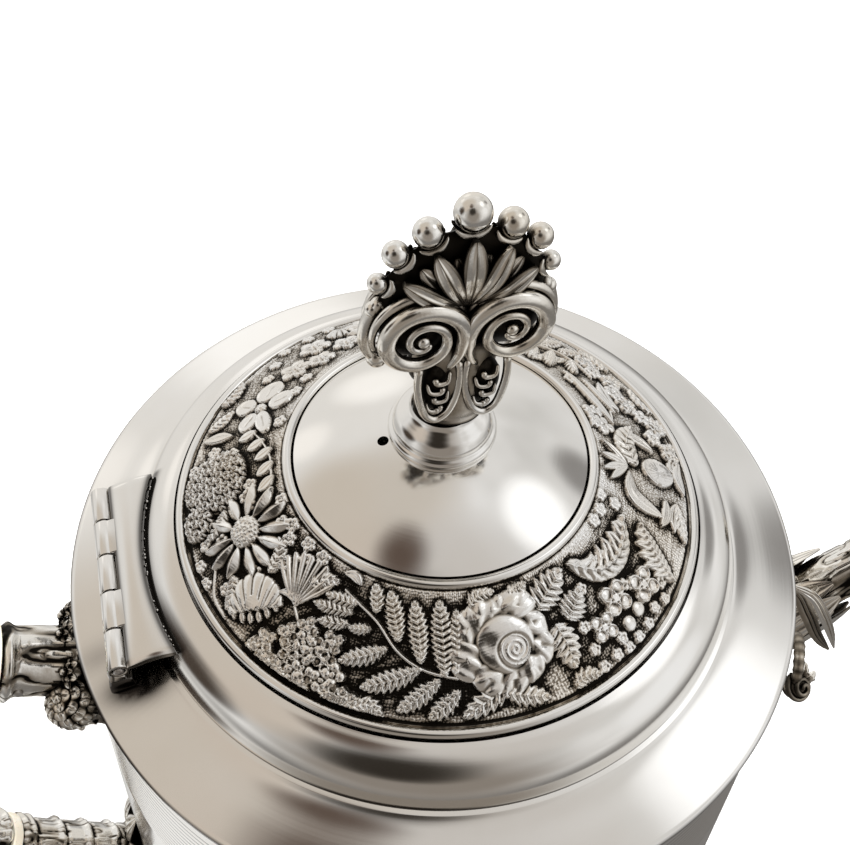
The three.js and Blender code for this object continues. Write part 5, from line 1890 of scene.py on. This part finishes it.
def make_camera():
    """A camera above the handle side, looking down at the lid."""
    a, e, roll = (math.radians(v) for v in (CAMERA_AZIMUTH, CAMERA_ELEVATION, CAMERA_ROLL))
    right = Vector((math.cos(a), math.sin(a), 0))
    ahead = Vector((-math.sin(a) * math.cos(e), math.cos(a) * math.cos(e), -math.sin(e)))
    up = right.cross(ahead)
    place = Vector((0, 0, RIM_Z)) + right * CAMERA_AIM[0] + up * CAMERA_AIM[1] - ahead * CAMERA_DISTANCE
    x_axis = right * math.cos(roll) + up * math.sin(roll)
    y_axis = up * math.cos(roll) - right * math.sin(roll)
    data = bpy.data.cameras.new("camera")
    data.lens = CAMERA_LENS
    data.clip_start = 0.01
    camera = bpy.data.objects.new("camera", data)
    camera.matrix_world = Matrix.Translation(place * MM) @ Matrix((x_axis, y_axis, -ahead)).transposed().to_4x4()
    bpy.context.scene.collection.objects.link(camera)
    bpy.context.scene.camera = camera


def make_floor():
    """A plain pale floor, which the silver doesn't mirror."""
    mesh = bpy.data.meshes.new("floor")
    s = 4.0
    mesh.from_pydata([(-s, -s, 0), (s, -s, 0), (s, s, 0), (-s, s, 0)], [], [(0, 1, 2, 3)])
    made, tree, shader = material("floor")
    mottle = clouds(tree, object_place(tree), 60.0, 4.0)
    tree.links.new(ramp(tree, mottle, (0.3, grey(0.9)), (0.7, grey(0.93))), shader.inputs["Base Color"])
    shader.inputs["Roughness"].default_value = 0.7
    mesh.materials.append(made)
    floor = bpy.data.objects.new("floor", mesh)
    bpy.context.scene.collection.objects.link(floor)
    floor.visible_glossy = False


def make_light(name, place, size, energy):
    """A soft light from above that the silver doesn't mirror: its highlights come from the studio."""
    data = bpy.data.lights.new(name, "AREA")
    data.shape, data.size, data.energy = "DISK", size, energy
    light = bpy.data.objects.new(name, data)
    light.location = place
    light.rotation_mode = "QUATERNION"
    light.rotation_quaternion = (Vector((0, 0, 0.12)) - Vector(place)).to_track_quat("-Z", "Y")
    light.visible_glossy = False
    bpy.context.scene.collection.objects.link(light)


# Soft patches of the studio: azimuth and elevation of the middle, where the patch is full, where it
# ends, all in degrees, and its colour.
STUDIO = (
    (0, -90, 62, 92, (0.2, 0.19, 0.18)),
    (167, -48, 18, 42, (0.85, 0.84, 0.82)),
    (100, 10, 20, 60, (0.80, 0.78, 0.75)),
    (150, 72, 8, 36, (0.60, 0.55, 0.49)),
    (186, 44, 8, 30, (0.60, 0.53, 0.46)),
    (150, 46, 6, 24, (0.60, 0.54, 0.47)),
    (-85, 62, 8, 30, (0.60, 0.57, 0.54)),
    (-110, 15, 20, 55, (0.26, 0.23, 0.2)),
    (-118, 42, 8, 27, (0.03, 0.025, 0.02)),
    (-145, 68, 2, 14, (0.10, 0.07, 0.055)),
    (15, 26, 4, 12, (0.26, 0.25, 0.24)),
    (-8, 50, 7, 17, (1.25, 1.25, 1.25)),
    (92, 18, 4, 14, (1.05, 1.03, 1.0)),
    (122, 24, 3, 10, (1.0, 0.97, 0.93)),
    (-30, 22, 6, 20, (0.9, 0.9, 0.9)),
    (176, 14, 8, 24, (0.06, 0.045, 0.035)),
)


def make_world():
    """The studio: soft grey light all round, with the patches mixed in one over the other."""
    world = bpy.data.worlds.new("studio")
    bpy.context.scene.world = world
    world.use_nodes = True
    tree = world.node_tree
    background = tree.nodes["Background"]
    direction = node(tree, "ShaderNodeTexCoord").outputs["Generated"]
    drift = clouds(tree, direction, 2.2, 2.0)
    colour = ramp(tree, drift, (0.3, (0.62, 0.61, 0.59)), (0.7, (0.86, 0.85, 0.84)))
    for azimuth, elevation, full, end, tint in STUDIO:
        a, e = math.radians(azimuth), math.radians(elevation)
        middle = (math.cos(a) * math.cos(e), math.sin(a) * math.cos(e), math.sin(e))
        near = node(
            tree, "ShaderNodeVectorMath", {"operation": "DOT_PRODUCT"}, _0=direction, _1=middle
        ).outputs["Value"]
        edge = (math.cos(math.radians(end)), math.cos(math.radians(full)))
        share = node(
            tree, "ShaderNodeMapRange", {"interpolation_type": "SMOOTHSTEP"}, Value=near, From_Min=edge[0],
            From_Max=edge[1]
        )
        colour = mix(tree, share.outputs[0], colour, (*tint, 1))
    tree.links.new(colour, background.inputs["Color"])
    background.inputs["Strength"].default_value = 1.0


make_camera()
make_floor()
make_light("overhead", (0.3, 0.2, 1.6), 1.6, 42)
make_light("front", (-0.7, -0.9, 1.2), 0.9, 12)
make_world()
bpy.context.scene.view_settings.view_transform = "Standard"
